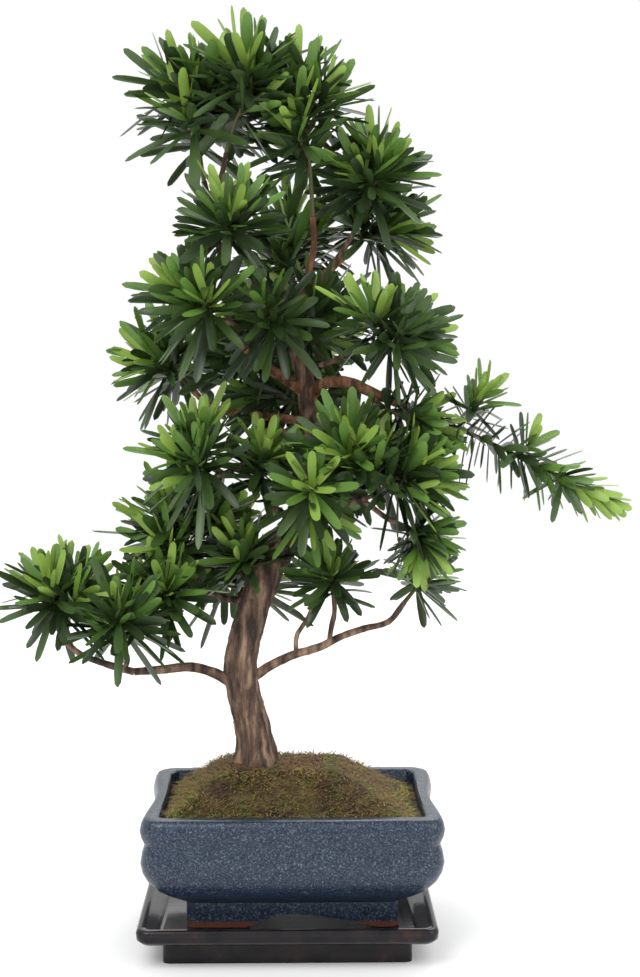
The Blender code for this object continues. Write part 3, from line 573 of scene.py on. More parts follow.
def linked(name: str, data: bpy.types.ID) -> bpy.types.Object:
    """Makes an object and links it to the scene.

    Args:
        name: the object's name.
        data: its mesh, light or camera.

    Returns:
        The object.
    """
    made = bpy.data.objects.new(name, data)
    bpy.context.scene.collection.objects.link(made)
    return made


def seated(name: str, mesh: Mesh, material: Material, replaced: tuple = (),
           smooth_deg: float = SOFT_EDGE) -> bpy.types.Object:
    """Links a mesh in metres as a piece, dresses it and lets it ride on the part.

    Args:
        name: the piece's name.
        mesh: its shape.
        material: its finish.
        replaced: the CAD nodes it stands for.
        smooth_deg: edges sharper than this stay sharp.

    Returns:
        The new object.
    """
    mesh.shade_smooth()
    mesh.set_sharp_from_angle(angle=math.radians(smooth_deg))
    mesh.materials.append(material)
    piece = linked(name, mesh)
    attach(piece, "root")
    if replaced:
        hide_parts(*replaced)
    LOG.info("%s: %d faces", name, len(mesh.polygons))
    return piece


def curled(rows: list) -> BMesh:
    """Curls a grid into a skin through rows of points, and closes its ends.

    Args:
        rows: outlines with equally many points.

    Returns:
        The skin as a bmesh.
    """
    bm = bmesh.new()
    bmesh.ops.create_grid(bm, x_segments=len(rows[0]), y_segments=len(rows) - 1, size=1.0)
    for vert, point in zip(bm.verts, (point for row in rows for point in [*row, row[0]])):
        vert.co = point
    bmesh.ops.remove_doubles(bm, verts=bm.verts, dist=MERGED)
    bmesh.ops.holes_fill(bm, edges=[edge for edge in bm.edges if edge.is_boundary], sides=0)
    bmesh.ops.recalc_face_normals(bm, faces=bm.faces)
    return bm


def joined(parts: list) -> BMesh:
    """Joins several bmeshes into one, and frees them.

    Args:
        parts: the bmeshes.

    Returns:
        The whole.
    """
    whole = bmesh.new()
    for part in parts:
        held = meshed("held", part, 1.0)
        whole.from_mesh(held)
        bpy.data.meshes.remove(held)
    return whole


def faceted(name: str, points: list, quads: list) -> Mesh:
    """Makes a mesh of many small repeated strips.

    Args:
        name: the mesh's name.
        points: its points in metres.
        quads: its faces, as four places in the points each.

    Returns:
        The mesh.
    """
    mesh = bpy.data.meshes.new(name)
    mesh.from_pydata(points, [], quads)
    mesh.update()
    return mesh


def path_length(path: Path) -> float:
    """The length along a path."""
    return sum((b - a).length for a, b in zip(path, path[1:]))


def smooth_path(places: list | tuple, count: int) -> Path:
    """Finds points spaced evenly along a Catmull-Rom curve.

    Args:
        places: the places that the curve passes.
        count: how many points are wanted.

    Returns:
        The points.
    """
    knots = [Vector(place) for place in places]
    knots = [2 * knots[0] - knots[1]] + knots + [2 * knots[-1] - knots[-2]]
    fine = []
    for before, start, end, after in zip(knots, knots[1:], knots[2:], knots[3:]):
        for step in range(CURVE_STEPS):
            t = step / CURVE_STEPS
            bend = (2 * before - 5 * start + 4 * end - after) * t ** 2
            twist = (3 * start - before - 3 * end + after) * t ** 3
            fine.append(0.5 * (2 * start + (end - before) * t + bend + twist))
    fine.append(knots[-2])
    lengths = np.cumsum([0.0] + [(b - a).length for a, b in zip(fine, fine[1:])])
    wanted = np.linspace(0.0, lengths[-1], count)
    columns = [np.interp(wanted, lengths, [point[axis] for point in fine]) for axis in range(3)]
    return [Vector(point) for point in zip(*columns)]


def tube_rows(path: Path, radii: list, sides: int, swell: Optional[Callable] = None,
              facing: Optional[Vector] = None) -> list:
    """Works out the rings of a tube along a path.

    Args:
        path: the points of its axis.
        radii: its radius at each point.
        sides: points in each ring.
        swell: scales the radius at a point and an angle.
        facing: the way the foot faces.

    Returns:
        The rings as lists of points.
    """
    ahead = path[1:] + [2 * path[-1] - path[-2]]
    behind = [2 * path[0] - path[1]] + path[:-1]
    travel = [(b - a).normalized() for a, b in zip(behind, ahead)]
    if facing is not None:
        travel[0] = facing.copy()
    across = travel[0].orthogonal().normalized()
    rows = []
    for point, heading, radius in zip(path, travel, radii):
        across = (across - heading * across.dot(heading)).normalized()
        beside = heading.cross(across)
        row = []
        for side in range(sides):
            angle = FULL_TURN * side / sides
            reach = radius * (swell(point, angle) if swell else 1.0)
            row.append(point + (across * math.cos(angle) + beside * math.sin(angle)) * reach)
        rows.append(row)
    return rows


def flare(point: Vector, angle: float) -> float:
    """Root buttresses that die out up the trunk."""
    fade = math.exp(-(point.z - TRUNK_CUT) / FLARE_HEIGHT)
    return 1.0 + ROOT_FLARE * fade * math.cos(BUTTRESSES * angle) + ROOT_FLARE * fade ** 2


def tip_heading(path: Path) -> Vector:
    """The direction that a path ends in."""
    return (path[-1] - path[-2]).normalized()


def along_path(path: Path, share: float) -> tuple[Vector, Vector]:
    """Finds a place on a path.

    Args:
        path: the path's points.
        share: how far along it, from 0 to 1.

    Returns:
        The place, and the path's direction there.
    """
    place = max(0.0, min(share * (len(path) - 1), len(path) - STRETCH_AHEAD))
    low = int(place)
    axis = (path[low + 1] - path[low]).normalized()
    return path[low].lerp(path[low + 1], place - low), axis


def opened(axis: Vector, turn: float, opening: float, lift: Vector = NO_LIFT) -> Vector:
    """Finds the heading that opens away from an axis.

    Args:
        axis: the direction that it opens from.
        turn: how far it is turned round the axis, in radians.
        opening: how wide it opens, in radians.
        lift: what is added before the heading gets its unit length.

    Returns:
        The heading.
    """
    across = axis.orthogonal().normalized()
    across.rotate(Matrix.Rotation(turn, 3, axis))
    heading = axis * math.cos(opening) + across * math.sin(opening)
    return (heading + lift).normalized()


def bent_path(start: Vector, heading: Vector, end: Vector, count: int) -> Path:
    """Bends a path from start to end that leaves along the heading.

    Args:
        start: its first point.
        heading: the direction that it leaves in.
        end: its last point.
        count: how many points it has.

    Returns:
        The path.
    """
    control = start + heading * (end - start).length * BEND
    steps = [step / (count - 1) for step in range(count)]
    return [start * (1 - t) ** 2 + control * 2 * t * (1 - t) + end * t ** 2 for t in steps]


def rising_path(mass: Mass, base: Vector, heading: Vector, length: float, count: int) -> Path:
    """A shoot's path, which rises towards its end as its mass does."""
    return bent_path(base, heading, base + (heading + UP * mass.rise * END_LIFT) * length, count)


class Taken:
    """The round rods that already fill the crown: limbs, stems and shoots."""

    def __init__(self) -> None:
        """Starts empty."""
        self.starts = np.zeros((0, 3))
        self.ends = np.zeros((0, 3))
        self.radii = np.zeros(0)
        self.owners: list = []

    def add(self, path: Path, radius: float, owner: str) -> None:
        """Adds one rod for each stretch of a path.

        Args:
            path: the rods' axis.
            radius: their radius.
            owner: the limb or mass that they belong to.
        """
        points = np.array([tuple(point) for point in path])
        self.starts = np.vstack([self.starts, points[:-1]])
        self.ends = np.vstack([self.ends, points[1:]])
        self.radii = np.append(self.radii, np.full(len(points) - 1, radius))
        self.owners += [owner] * (len(points) - 1)

    def blocks(self, path: Path, radius: float, owner: str) -> bool:
        """Tests whether a path comes too close to another owner's rod.

        Args:
            path: the axis to test.
            radius: its radius, with the room that it needs.
            owner: the mass whose own rods don't count.

        Returns:
            True if a rod is in the way.
        """
        others = np.array([name != owner for name in self.owners])
        if not others.any():
            return False
        points = np.array([tuple(point) for point in path])
        samples = np.linspace(points[:-1], points[1:], ROD_SAMPLES).reshape(-1, 3)
        starts, ends = self.starts[others], self.ends[others]
        along = ends - starts
        offset = samples[:, None, :] - starts[None]
        share = np.clip((offset * along).sum(2) / (along * along).sum(1), 0.0, 1.0)
        away = np.linalg.norm(offset - share[..., None] * along, axis=2)
        return bool((away < self.radii[others] + radius).any())


@dataclass
class Skeleton:
    """The axes of trunk and boughs, and the shoots of every mass, by the source's rule."""
    axes: dict = field(default_factory=dict)
    shoots: dict = field(default_factory=dict)

    def __post_init__(self) -> None:
        """Works out all axes and shoots."""
        for limb in LIMBS:
            self.axes[limb.name] = (limb, *self.limb_axis(limb))
        taken = Taken()
        for name, (_, path, radii) in self.axes.items():
            for start, end, radius in zip(path, path[1:], radii):
                taken.add([start, end], radius, name)
        for mass in MASSES:
            self.shoots[mass.name] = self.grow(mass, taken)

    def limb_axis(self, limb: Limb) -> tuple:
        """Works out a limb's axis, which tapers from foot to tip.

        Args:
            limb: the trunk or bough.

        Returns:
            Its path, and its radius at each point.
        """
        length = path_length([Vector(place) for place in limb.places])
        station = STATION if limb.parent else TRUNK_STATION
        path = smooth_path(limb.places, max(FEWEST_STATIONS, round(length / station)))
        if limb.on_tip:
            parent_path = self.axes[limb.parent][1]
            path[0] = parent_path[-1] + tip_heading(parent_path) * GAP
        steps = [step / (len(path) - 1) for step in range(len(path))]
        radii = [limb.foot / 2 + (limb.tip - limb.foot) / 2 * step for step in steps]
        if limb.parent == "":
            known = (limb.foot / 2, TRUNK_MIDDLE, TRUNK_UPPER, limb.tip / 2)
            radii = [float(np.interp(step, TRUNK_SHARES, known)) for step in steps]
        return path, radii

    def main_stem(self, mass: Mass) -> Path:
        """Works out the stem that a mass grows from.

        Args:
            mass: the mass.

        Returns:
            The stem's path.
        """
        _, path, _ = self.axes[mass.limb]
        tip = Vector(mass.tip)
        if mass.root:
            root = Vector(mass.root)
            outward = tip - root
            outward.z *= STEM_LEVEL
            return bent_path(root, outward.normalized(), tip, STEM_STATIONS)
        heading = tip_heading(path)
        return bent_path(path[-1] + heading * GAP, heading, tip, STEM_STATIONS)

    def side_shoot(self, mass: Mass, stem: Path, index: int, turn: float,
                   dice: random.Random) -> Path:
        """Works out one side shoot.

        Args:
            mass: the mass it belongs to.
            stem: the stem it grows from.
            index: its number, from the stem's foot up.
            turn: how far it is turned round the stem, in radians.
            dice: the random source.

        Returns:
            The shoot's path.
        """
        first, last = mass.span
        share = first + (last - first) * (index + 0.5) / mass.shoots
        base, axis = along_path(stem, share)
        opening = math.radians(dice.uniform(*SHOOT_OPENING))
        heading = opened(axis, turn, opening, UP * mass.rise * HEADING_LIFT)
        length = mass.spread * dice.uniform(*SHOOT_LENGTHS) * (1.0 - SHOOT_SHORTENING * share)
        return rising_path(mass, base, heading, length, SHOOT_STATIONS)

    def grow(self, mass: Mass, taken: Taken) -> list:
        """Grows a mass's shoots. One that finds no free way is skipped.

        Args:
            mass: the mass.
            taken: the rods in the way, to which the new shoots are added.

        Returns:
            The paths, main stem first.
        """
        stem = self.main_stem(mass)
        taken.add(stem, TWIG_FOOT, mass.name)
        shoots = [stem]
        for index in range(mass.shoots):
            dice = random.Random(f"{mass.name} {mass.seed} {index}")
            turn = mass.seed + index * GOLDEN
            for attempt in range(SHOOT_TRIES):
                path = self.side_shoot(mass, stem, index, turn + attempt * SHOOT_NEXT_TRY, dice)
                if not taken.blocks(path[1:], TWIG_FOOT + SHOOT_ROOM, mass.name):
                    taken.add(path, TWIG_TIP, mass.name)
                    shoots.append(path)
                    break
        return shoots


@dataclass
class Wood:
    """The barked trunk and boughs."""
    skeleton: Skeleton
    finishes: Finishes
    trunk_sides: int = 36
    bough_sides: int = 14
    trunk_step: float = 2.0
    bough_step: float = 3.0
    trunk_relief: float = 1.1
    bough_relief: float = 0.35
    fewest_rings: int = 6
    # Coarse ridges, plates and flakes: waves per mm across and along, shift, share of the relief
    layers: tuple = ((0.22, 0.05, (0, 0, 0), 0.8), (0.7, 0.12, (7, 3, 1), 0.7),
                     (1.6, 0.6, (0, 0, 0), 0.35))

    def relief_at(self, point: Vector) -> float:
        """The height of the bark at a point, as a share of the relief's depth."""
        return sum(share * noise.noise(Vector((point.x * wide, point.y * wide, point.z * tall))
                                       + Vector(shift)) for wide, tall, shift, share in self.layers)

    def barked(self, name: str, sides: int, step: float, relief: float) -> BMesh:
        """Makes a limb's tube with the relief of its bark.

        Args:
            name: the limb's name.
            sides: points in each ring.
            step: millimetres between rings.
            relief: depth of the bark's plates.

        Returns:
            The barked tube.
        """
        limb, path, radii = self.skeleton.axes[name]
        count = max(self.fewest_rings, round(path_length(path) / step))
        fine = smooth_path(path, count)
        wide = np.interp(np.linspace(0, 1, count), np.linspace(0, 1, len(radii)), radii)
        rooted = (None, None) if limb.parent else (flare, UP)
        rows = tube_rows(fine, list(wide), sides, *rooted)
        for row, centre in zip(rows[:-1], fine):
            for point in row:
                rise = relief * self.relief_at(point)
                point += (point - centre).normalized() * rise
        if not limb.parent:
            for point in rows[0]:
                point.z = max(point.z, TRUNK_CUT)
        return curled(rows)

    def build(self) -> None:
        """Makes the trunk, the grown boughs and the young boughs."""
        barks = {"bark": self.finishes.patched("bark", BARK),
                 "young_bark": self.finishes.patched("young_bark", YOUNG_BARK)}
        trunk = self.barked("trunk", self.trunk_sides, self.trunk_step, self.trunk_relief)
        seated("trunk_bark", meshed("trunk_bark", trunk), barks["bark"], ("trunk",))
        for name, hue in (("bough_bark", "bark"), ("young_bough_bark", "young_bark")):
            chosen = [limb.name for limb in LIMBS if limb.parent and limb.hue == hue]
            tubes = [self.barked(limb, self.bough_sides, self.bough_step, self.bough_relief)
                     for limb in chosen]
            seated(name, meshed(name, joined(tubes)), barks[hue], tuple(chosen))


@dataclass(frozen=True)
class Leaf:
    """Where one leaf grows, which way it points and faces, and how large it is."""
    root: Vector
    heading: Vector
    face: Vector
    beside: Vector
    droop: Vector
    size: float
    width: float


@dataclass
class Crown:
    """Twigs and rosettes of strap-shaped leaves on every mass.

    A pair is the lowest and highest value that is drawn, but stem_forks are two places on a stem.
    A youth goes from 0 for a rosette's lowest leaf to 1 for its highest, and a vigour from 0 to 1
    for the whole rosette. Leaf lengths are shares of the mass's own, and leaf widths of a length.
    """
    skeleton: Skeleton
    finishes: Finishes
    # Finer twigs
    stem_forks: tuple = (0.45, 0.72)
    shoot_fork: tuple = (0.35, 0.6)
    shortest_forked: float = 12
    fork_opening: tuple = (42, 60)
    fork_lengths: tuple = (0.5, 0.8)
    fork_stations: int = 4
    twig_rings: int = 7
    twig_sides: int = 6
    stem_foot: float = 1.7
    twig_foot: float = 1.25
    twig_tip: float = 0.9
    # Rosettes
    least_clothed: float = 14.0
    top_gap: float = 1.0
    first_leaves: int = 12
    leaf_every: float = 1.5
    fine_leaves: int = 13
    most_leaves: int = 100
    widest_opening: float = 88
    opening_range: float = 68
    opening_power: float = 1.2
    opening_spread: float = 9
    # Leaves
    leaf_lengths: tuple = (0.72, 1.06)
    young_shortening: float = 0.25
    young_from: float = 0.8
    young_range: float = 0.2
    leaf_widths: tuple = (0.135, 0.175)
    narrowest_leaf: float = 6.0
    droops: tuple = (0.05, 0.24)
    stations: int = 7
    outline: tuple = (0.20, 0.62, 0.86, 1.0, 0.96, 0.72, 0.16)
    shares: tuple = (0.0, 0.14, 0.32, 0.56, 0.80, 0.945, 1.0)
    sides: tuple = (-0.5, 0.0, 0.5)
    keel: float = 0.16
    # Ages
    tip_vigour: float = 0.35
    fresh_youth: float = 0.55
    tip_youth: float = 0.75
    grown_youth: float = 0.5
    fresh_vigour: float = 0.2
    late_fresh_youth: float = 0.7
    grown_share: float = 0.45
    leaves: dict = field(default_factory=lambda: {age: [] for age in Age})

    def finer(self, mass: Mass, shoots: list) -> list:
        """Grows finer twigs on a mass's shoots.

        Args:
            mass: the mass.
            shoots: its shoots' paths, main stem first.

        Returns:
            The twigs' paths.
        """
        made = []
        lift = UP * mass.rise * HEADING_LIFT
        for number, path in enumerate(shoots):
            dice = random.Random(f"{mass.name} {mass.seed} finer {number}")
            shares = self.stem_forks if number == 0 else (dice.uniform(*self.shoot_fork),)
            if number and path_length(path) < self.shortest_forked:
                continue
            for share in shares:
                base, axis = along_path(path, share)
                turn = dice.uniform(0, FULL_TURN)
                opening = math.radians(dice.uniform(*self.fork_opening))
                heading = opened(axis, turn, opening, lift)
                reach = mass.spread * dice.uniform(*self.fork_lengths)
                made.append(rising_path(mass, base, heading, reach, self.fork_stations))
        return made

    def age_at(self, youth: float, vigour: float, dice: random.Random) -> Age:
        """Tells how old a leaf is.

        Args:
            youth: the leaf's place in its rosette.
            vigour: the rosette's vigour.
            dice: the random source.

        Returns:
            The leaf's age.
        """
        if vigour > self.tip_vigour and youth > self.fresh_youth:
            return Age.TIP if youth > self.tip_youth else Age.FRESH
        if youth > self.grown_youth:
            late = vigour > self.fresh_vigour and youth > self.late_fresh_youth
            return Age.FRESH if late else Age.GROWN
        return Age.GROWN if dice.random() < self.grown_share else Age.OLD

    def rosette(self, mass: Mass, path: Path, number: int, full: bool) -> None:
        """Adds the spiral of leaves at a shoot's end, old and open below, upright above.

        Args:
            mass: the mass it belongs to.
            path: the shoot's path.
            number: the shoot's number in the mass.
            full: whether it is a shoot of the source, and not a finer twig.
        """
        dice = random.Random(f"{mass.name} {mass.seed} rosette {number}")
        length = path_length(path)
        clothed = min(length, max(length * mass.clothed, self.least_clothed))
        count = int(self.first_leaves + clothed / self.leaf_every) if full else self.fine_leaves
        count = min(count, self.most_leaves)
        phase = dice.uniform(0, FULL_TURN)
        vigour = dice.random()
        for index in range(count):
            youth = index / (count - 1)
            share = 1 - (self.top_gap + (clothed - self.top_gap) * (1 - youth)) / length
            root, axis = along_path(path, share)
            opening = math.radians(self.widest_opening
                                   - self.opening_range * youth ** self.opening_power
                                   + dice.uniform(-self.opening_spread, self.opening_spread))
            heading = opened(axis, phase + index * GOLDEN, opening)
            face = (axis - heading * axis.dot(heading)).normalized()
            late = max(0.0, youth - self.young_from)
            shortened = 1 - self.young_shortening * late / self.young_range
            size = mass.leaf * dice.uniform(*self.leaf_lengths) * shortened
            width = max(size * dice.uniform(*self.leaf_widths), self.narrowest_leaf)
            droop = -UP * size * dice.uniform(*self.droops) * (1 - youth)
            age = self.age_at(youth, vigour, dice)
            self.leaves[age].append(
                Leaf(root, heading, face, heading.cross(face), droop, size, width))

    def leaf_mesh(self, age: Age) -> Mesh:
        """Joins all leaves of one age: one shaped strip, repeated by arrays.

        Args:
            age: the leaves' age.

        Returns:
            The mesh.
        """
        strip, wide = bmesh.new(), len(self.sides)
        bmesh.ops.create_grid(strip, x_segments=wide - 1, y_segments=self.stations - 1, size=1.0)
        faces = np.array([[vert.index for vert in face.verts] for face in strip.faces])
        strip.free()
        leaves = self.leaves[age]
        root, heading, face, beside, droop = (
            np.array([tuple(getattr(leaf, name)) for leaf in leaves])[:, None, :]
            for name in ("root", "heading", "face", "beside", "droop"))
        size, width = (np.array([getattr(leaf, name) for leaf in leaves])[:, None, None]
                       for name in ("size", "width"))
        along = np.repeat(np.array(self.shares), wide)[None, :, None]
        broad = np.repeat(np.array(self.outline), wide)[None, :, None]
        side = np.tile(np.array(self.sides), self.stations)[None, :, None]
        points = root + heading * size * along + droop * along ** 2 + beside * width * broad * side
        points = points + face * width * broad * self.keel * (np.abs(side) * 2 - 1)
        offsets = (np.arange(len(leaves)) * self.stations * wide)[:, None, None]
        quads = (faces[None] + offsets).reshape(-1, 4)
        return faceted(f"{age.value}_leaves", (points.reshape(-1, 3) * MM).tolist(), quads.tolist())

    def build(self) -> None:
        """Makes the twigs and the leaves of every mass."""
        twigs = []
        for mass in MASSES:
            shoots = self.skeleton.shoots[mass.name]
            for number, path in enumerate(shoots + self.finer(mass, shoots)):
                self.rosette(mass, path, number, number < len(shoots))
                foot = self.twig_foot if number else self.stem_foot
                radii = list(np.linspace(foot, self.twig_tip, self.twig_rings))
                smooth = smooth_path(path, self.twig_rings)
                twigs.append(curled(tube_rows(smooth, radii, self.twig_sides)))
        green_wood = self.finishes.plain("twig_green", TWIG_FINISH)
        seated("twigs", meshed("twigs", joined(twigs)), green_wood,
               tuple(mass.name for mass in MASSES))
        for age in Age:
            finish = self.finishes.plain(f"{age.value}_leaf", LEAF_FINISHES[age])
            seated(f"{age.value}_leaves", self.leaf_mesh(age), finish)


@dataclass
class Pottery:
    """The lobed pot and its drip saucer, on the solids' levels with rounder corners."""
    finishes: Finishes
    corner_steps: int = 12
    side_steps: int = 12
    arch_steps: int = 24
    arch_below: float = 2.0
    arch_beyond: float = 6.0

    def plan_ring(self, width: float, depth: float, corner: float, height: float,
                  centre_x: float = 0.0, pull: float = 0.0) -> list:
        """Draws a rounded rectangle as seen from above.

        Args:
            width: its size along X.
            depth: its size along Y.
            corner: the corners' radius.
            height: its height.
            centre_x: where its middle is along X.
            pull: how far its sides are drawn into gentle waves, from 0 to 1.

        Returns:
            Its points.
        """
        straight_x, straight_y = width / 2 - corner, depth / 2 - corner
        points = []
        for quarter in range(4):
            sign_x = 1 if quarter in (0, 3) else -1
            sign_y = 1 if quarter in (0, 1) else -1
            for step in range(self.corner_steps + 1):
                angle = math.pi / 2 * (quarter + step / self.corner_steps)
                x = sign_x * straight_x + corner * math.cos(angle)
                points.append((x, sign_y * straight_y + corner * math.sin(angle)))
            for step in range(1, self.side_steps):
                share = 1 - 2 * step / self.side_steps
                wave = math.cos(math.pi / 2 * share) ** 2
                if quarter % 2 == 0:
                    y = sign_y * (depth / 2 + pull * POT_BOW * wave)
                    points.append((sign_x * share * straight_x, y))
                else:
                    x = sign_x * (width / 2 - pull * POT_PULL_IN * wave)
                    points.append((x, sign_y * share * straight_y))
        return [Vector((centre_x + x, y, height)) for x, y in points]

    def arch(self) -> BMesh:
        """Draws the block that cuts the low arch through the pot's foot.

        Returns:
            The block.
        """
        outline = [(ARCH_LEFT, POT_BASE - self.arch_below)]
        for step in range(self.arch_steps + 1):
            x = ARCH_LEFT + (ARCH_RIGHT - ARCH_LEFT) * step / self.arch_steps
            edge = ARCH_LEFT if x < ARCH_PEAK else ARCH_RIGHT
            rise = math.sin(math.pi / 2 * (x - edge) / (ARCH_PEAK - edge))
            outline.append((x, POT_BASE + ARCH_HEIGHT * rise))
        outline.append((ARCH_RIGHT, POT_BASE - self.arch_below))
        half = POT_DEPTH / 2 - FOOT_INSET + self.arch_beyond
        return curled([[Vector((POT_X + x, y, z)) for x, z in outline] for y in (-half, half)])

    def build_pot(self) -> None:
        """Makes the pot and cuts the low arch through its foot."""
        rings = [self.plan_ring(POT_WIDTH - 2 * inset, POT_DEPTH - 2 * inset, corner, height,
                                POT_X, waves)
                 for height, inset, corner, waves in POT_OUTSIDE + POT_INSIDE]
        glaze = self.finishes.patched("pot_glaze", SLATE_GLAZE, clay_foot)
        pot = seated("glazed_pot", meshed("glazed_pot", curled(rings)), glaze,
                     ("pot",), CRISP_EDGE)
        cutter = linked("arch", meshed("arch", self.arch()))
        cut = pot.modifiers.new("Arch", "BOOLEAN")
        cut.operation = "DIFFERENCE"
        cut.object = cutter
        graph = bpy.context.evaluated_depsgraph_get()
        result = bpy.data.meshes.new_from_object(pot.evaluated_get(graph))
        pot.modifiers.clear()
        pot.data = result
        bpy.data.objects.remove(cutter)

    def build_saucer(self) -> None:
        """Makes the saucer with its foot, lip and recess."""
        rings = [self.plan_ring(SAUCER_WIDTH - 2 * inset, SAUCER_DEPTH - 2 * inset, corner, height)
                 for height, inset, corner in SAUCER_LEVELS]
        glaze = self.finishes.patched("saucer_glaze", BLACK_GLAZE)
        seated("glazed_saucer", meshed("glazed_saucer", curled(rings)), glaze,
               ("drip_saucer",), CRISP_EDGE)


@dataclass(frozen=True)
class Moss:
    """One kind of moss: its strands' look, and where its patches lie in the noise."""
    name: str
    colour: Colour
    length: float
    width: float
    lean: tuple
    patch_level: float
    at_rim: bool


RIM_LEAN = (0.2, 1.0)
MOSSES = (
    Moss("dead_moss", (0.200, 0.120, 0.050), 10.0, 0.6, (0.05, 0.45), 3.0, False),
    Moss("golden_moss", (0.330, 0.270, 0.055), 5.0, 0.7, RIM_LEAN, 3.0, True),
    Moss("green_moss", (0.110, 0.190, 0.028), 4.0, 0.8, RIM_LEAN, 9.0, True),
)
MOSS_GRAIN = Grain(700.0, 0.5, 0.85)


@dataclass
class Ground:
    """The mound of soil and moss in the pot.

    Reaches are the mound's, from its middle to the pot's wall. rim_from and mound_until are shares
    of the way from the pot's middle to its wall, where moss at the rim starts and dead moss ends.
    """
    pottery: Pottery
    finishes: Finishes
    # The mound
    rings: int = 28
    climbed: float = 0.97
    buried: float = 80.0
    wall_inset: float = 27.4
    wall_corner: float = 6.0
    wall_waves: float = 0.2
    lumps: tuple = ((0.09, 2.0, 2.2), (0.3, 5.0, 1.1))
    lump_fade: float = 4
    mound_sink: float = 0.6
    reach_left: float = 84.0
    reach_right: float = 94.0
    reach_front: float = 65.0
    reach_back: float = 60.0
    # The moss
    strands_tried: int = 9000
    ground_x: tuple = (-80, 86)
    ground_y: tuple = (-60, 60)
    patch_scale: float = 0.05
    half_width: float = 88.0
    half_depth: float = 62.0
    rim_from: float = 0.62
    rim_patches: float = 0.9
    mound_until: float = 0.93
    mound_patches: float = 0.5
    strand_sink: float = 0.8
    strand_lengths: tuple = (0.6, 1.3)
    tip_falls: tuple = (-0.2, 0.35)
    tip_width: float = 0.3

    def edge(self, point: Vector) -> float:
        """Height of the soil at the pot's wall: higher in front than behind."""
        return SOIL_FRONT + (SOIL_BACK - SOIL_FRONT) * (0.5 + point.y / POT_DEPTH)

    def climb(self, share: float) -> float:
        """How far the mound has climbed, from 0 at the wall to 1 on its flat top."""
        part = min(1.0, (1.0 - share) / (1.0 - SOIL_FLAT))
        return part * part * (3 - 2 * part)

    def height(self, x: float, y: float) -> float:
        """Works out the height of the bare mound.

        Args:
            x: a place along X.
            y: its place along Y.

        Returns:
            The height over that place.
        """
        reach_x = abs(x - SOIL_X) / (self.reach_right if x > SOIL_X else self.reach_left)
        reach_y = abs(y - SOIL_Y) / (self.reach_front if y < SOIL_Y else self.reach_back)
        low = self.edge(Vector((x, y, 0)))
        return low + (SOIL_TOP - low) * self.climb(min(1.0, max(reach_x, reach_y)))

    def grows(self, kind: Moss, x: float, y: float) -> bool:
        """Tests whether a kind of moss grows at a place.

        Args:
            kind: the moss.
            x: the place along X.
            y: the place along Y.

        Returns:
            True if it grows there.
        """
        spot = Vector((x * self.patch_scale, y * self.patch_scale, kind.patch_level))
        patch = noise.noise(spot)
        rim = max(abs(x - POT_X) / self.half_width, abs(y) / self.half_depth)
        if kind.at_rim:
            return rim + self.rim_patches * patch >= self.rim_from
        return rim - self.mound_patches * patch <= self.mound_until

    def mound(self) -> BMesh:
        """Shapes the mound from the pot's wall to its top.

        Returns:
            The mound.
        """
        wall = self.pottery.plan_ring(POT_WIDTH - self.wall_inset, POT_DEPTH - self.wall_inset,
                                      self.wall_corner, 0.0, POT_X, self.wall_waves)
        rows = [[Vector((point.x, point.y, self.buried)) for point in wall]]
        for step in range(self.rings + 1):
            share = 1.0 - self.climbed * step / self.rings
            climb, fade = self.climb(share), min(1.0, self.lump_fade * (1 - share))
            row = []
            for point in wall:
                x, y = SOIL_X + (point.x - SOIL_X) * share, SOIL_Y + (point.y - SOIL_Y) * share
                low = self.edge(point)
                lump = sum(noise.noise(Vector((x * scale, y * scale, level))) * size
                           for scale, level, size in self.lumps)
                z = low + (SOIL_TOP - low) * climb + lump * fade - self.mound_sink
                row.append(Vector((x, y, z)))
            rows.append(row)
        return curled(rows)

    def strands(self, kind: Moss, dice: random.Random) -> Mesh:
        """Scatters small bent strands over the mound.

        Args:
            kind: the moss they belong to.
            dice: the random source.

        Returns:
            The strands as one mesh.
        """
        points, quads = [], []
        for _ in range(self.strands_tried):
            x, y = dice.uniform(*self.ground_x), dice.uniform(*self.ground_y)
            if not self.grows(kind, x, y):
                continue
            foot = Vector((x, y, self.height(x, y) - self.strand_sink))
            turn = dice.uniform(0, FULL_TURN)
            lean = dice.uniform(*kind.lean)
            flat = Vector((math.cos(turn), math.sin(turn), 0.0))
            side = Vector((-flat.y, flat.x, 0.0)) * kind.width / 2
            reach = kind.length * dice.uniform(*self.strand_lengths)
            middle = foot + (flat + UP * lean) * reach * 0.5
            tip = middle + (flat - UP * dice.uniform(*self.tip_falls)) * reach * 0.5
            start = len(points)
            for place, share in ((foot, 1.0), (middle, 1.0), (tip, self.tip_width)):
                points += [tuple((place - side * share) * MM), tuple((place + side * share) * MM)]
            quads += [(low, low + 1, low + 3, low + 2) for low in (start, start + 2)]
        return faceted(kind.name, points, quads)

    def build(self) -> None:
        """Makes the mound, its dead fibres and its living moss."""
        seated("moss_mound", meshed("moss_mound", self.mound()),
               self.finishes.patched("moss_ground", MOSSY_SOIL), ("soil_mound",))
        dice = random.Random("moss")
        for kind in MOSSES:
            finish = self.finishes.plain(kind.name, PlainFinish(MOSS_GRAIN, kind.colour))
            seated(kind.name, self.strands(kind, dice), finish)


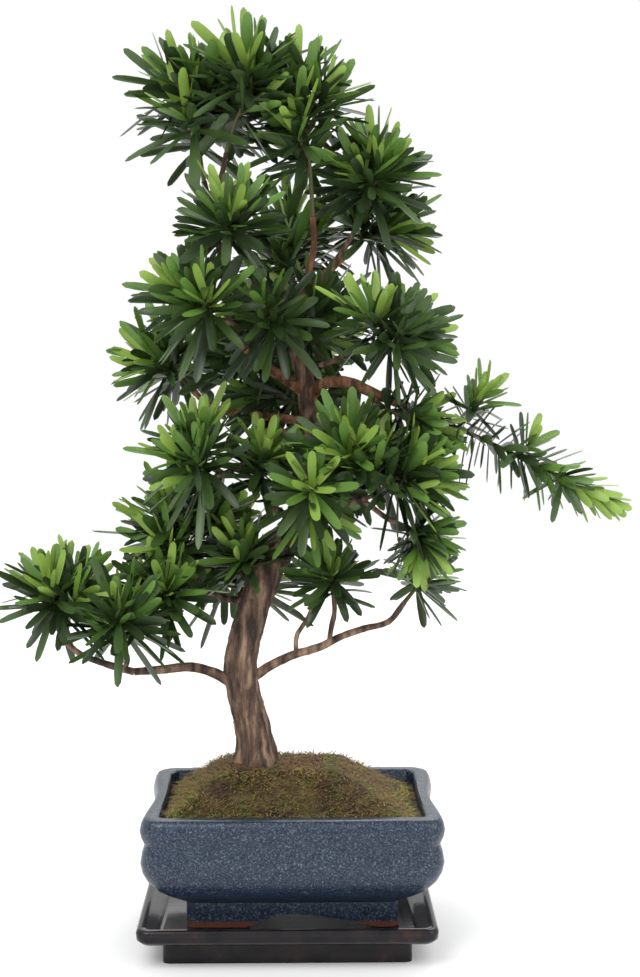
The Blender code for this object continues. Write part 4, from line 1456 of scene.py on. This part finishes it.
@dataclass
class Studio:
    """Pale floor, soft lights and the camera."""
    place: tuple = (4.5, -1185.0, 418.6)
    pitch_deg: float = 4.825
    yaw_deg: float = 0.893
    focal_px: float = 1700.0
    image_height: float = 977.0
    sensor: float = 36.0
    far_end: float = 50.0
    floor_size: float = 2.4
    floor_grey: float = 0.92
    floor_roughness: float = 0.7
    aim: tuple = (0, 0, 0.35)
    # Soft lights: name, place in metres, power and size
    lights: tuple = (("key", (-0.9, -1.3, 1.9), 26.0, 1.2), ("fill", (1.4, -1.0, 1.1), 10.0, 1.4),
                     ("back", (0.3, 1.6, 1.7), 14.0, 1.4))

    def build_floor(self) -> None:
        """Makes the pale floor."""
        bm = bmesh.new()
        bmesh.ops.create_grid(bm, x_segments=1, y_segments=1, size=self.floor_size)
        mesh = meshed("floor", bm, 1.0)
        pale = bpy.data.materials.new("pale_floor")
        pale.use_nodes = True
        grey = self.floor_grey
        preset(pale.node_tree.nodes["Principled BSDF"], Base_Color=(grey, grey, grey, 1.0),
               Roughness=self.floor_roughness)
        mesh.materials.append(pale)
        floor = linked("floor", mesh)

    def build_camera(self) -> None:
        """Sets the camera at the photograph's viewing angle."""
        data = bpy.data.cameras.new("camera")
        data.sensor_fit = "VERTICAL"
        data.sensor_height = self.sensor
        data.lens = self.focal_px * self.sensor / self.image_height
        data.clip_end = self.far_end
        camera = linked("camera", data)
        camera.location = Vector(self.place) * MM
        tilt, turn = math.radians(90 - self.pitch_deg), math.radians(-self.yaw_deg)
        camera.rotation_euler = (tilt, 0.0, turn)
        bpy.context.scene.camera = camera

    def build_lights(self) -> None:
        """Makes the soft lights and the white world."""
        for name, spot, power, size in self.lights:
            data = bpy.data.lights.new(name, "AREA")
            data.energy = power
            data.size = size
            light = linked(name, data)
            light.location = spot
            light.rotation_euler = (
                Vector(self.aim) - Vector(spot)).to_track_quat("-Z", "Y").to_euler()
        scene = bpy.context.scene
        scene.world = scene.world or bpy.data.worlds.new("world")
        scene.world.use_nodes = True
        preset(scene.world.node_tree.nodes["Background"], Color=(1.0, 1.0, 1.0, 1.0), Strength=1.0)
        scene.view_settings.view_transform = "Standard"

    def build(self) -> None:
        """Makes the floor, the camera and the lights."""
        self.build_floor()
        self.build_camera()
        self.build_lights()


def main() -> None:
    """Builds every sub-assembly in order."""
    logging.basicConfig(level=logging.INFO, format="%(name)s %(message)s")
    finishes = Finishes()
    skeleton = Skeleton()
    pottery = Pottery(finishes)
    pottery.build_saucer()
    pottery.build_pot()
    Ground(pottery, finishes).build()
    Wood(skeleton, finishes).build()
    Crown(skeleton, finishes).build()
    Studio().build()


if __name__ == "__main__":
    main()
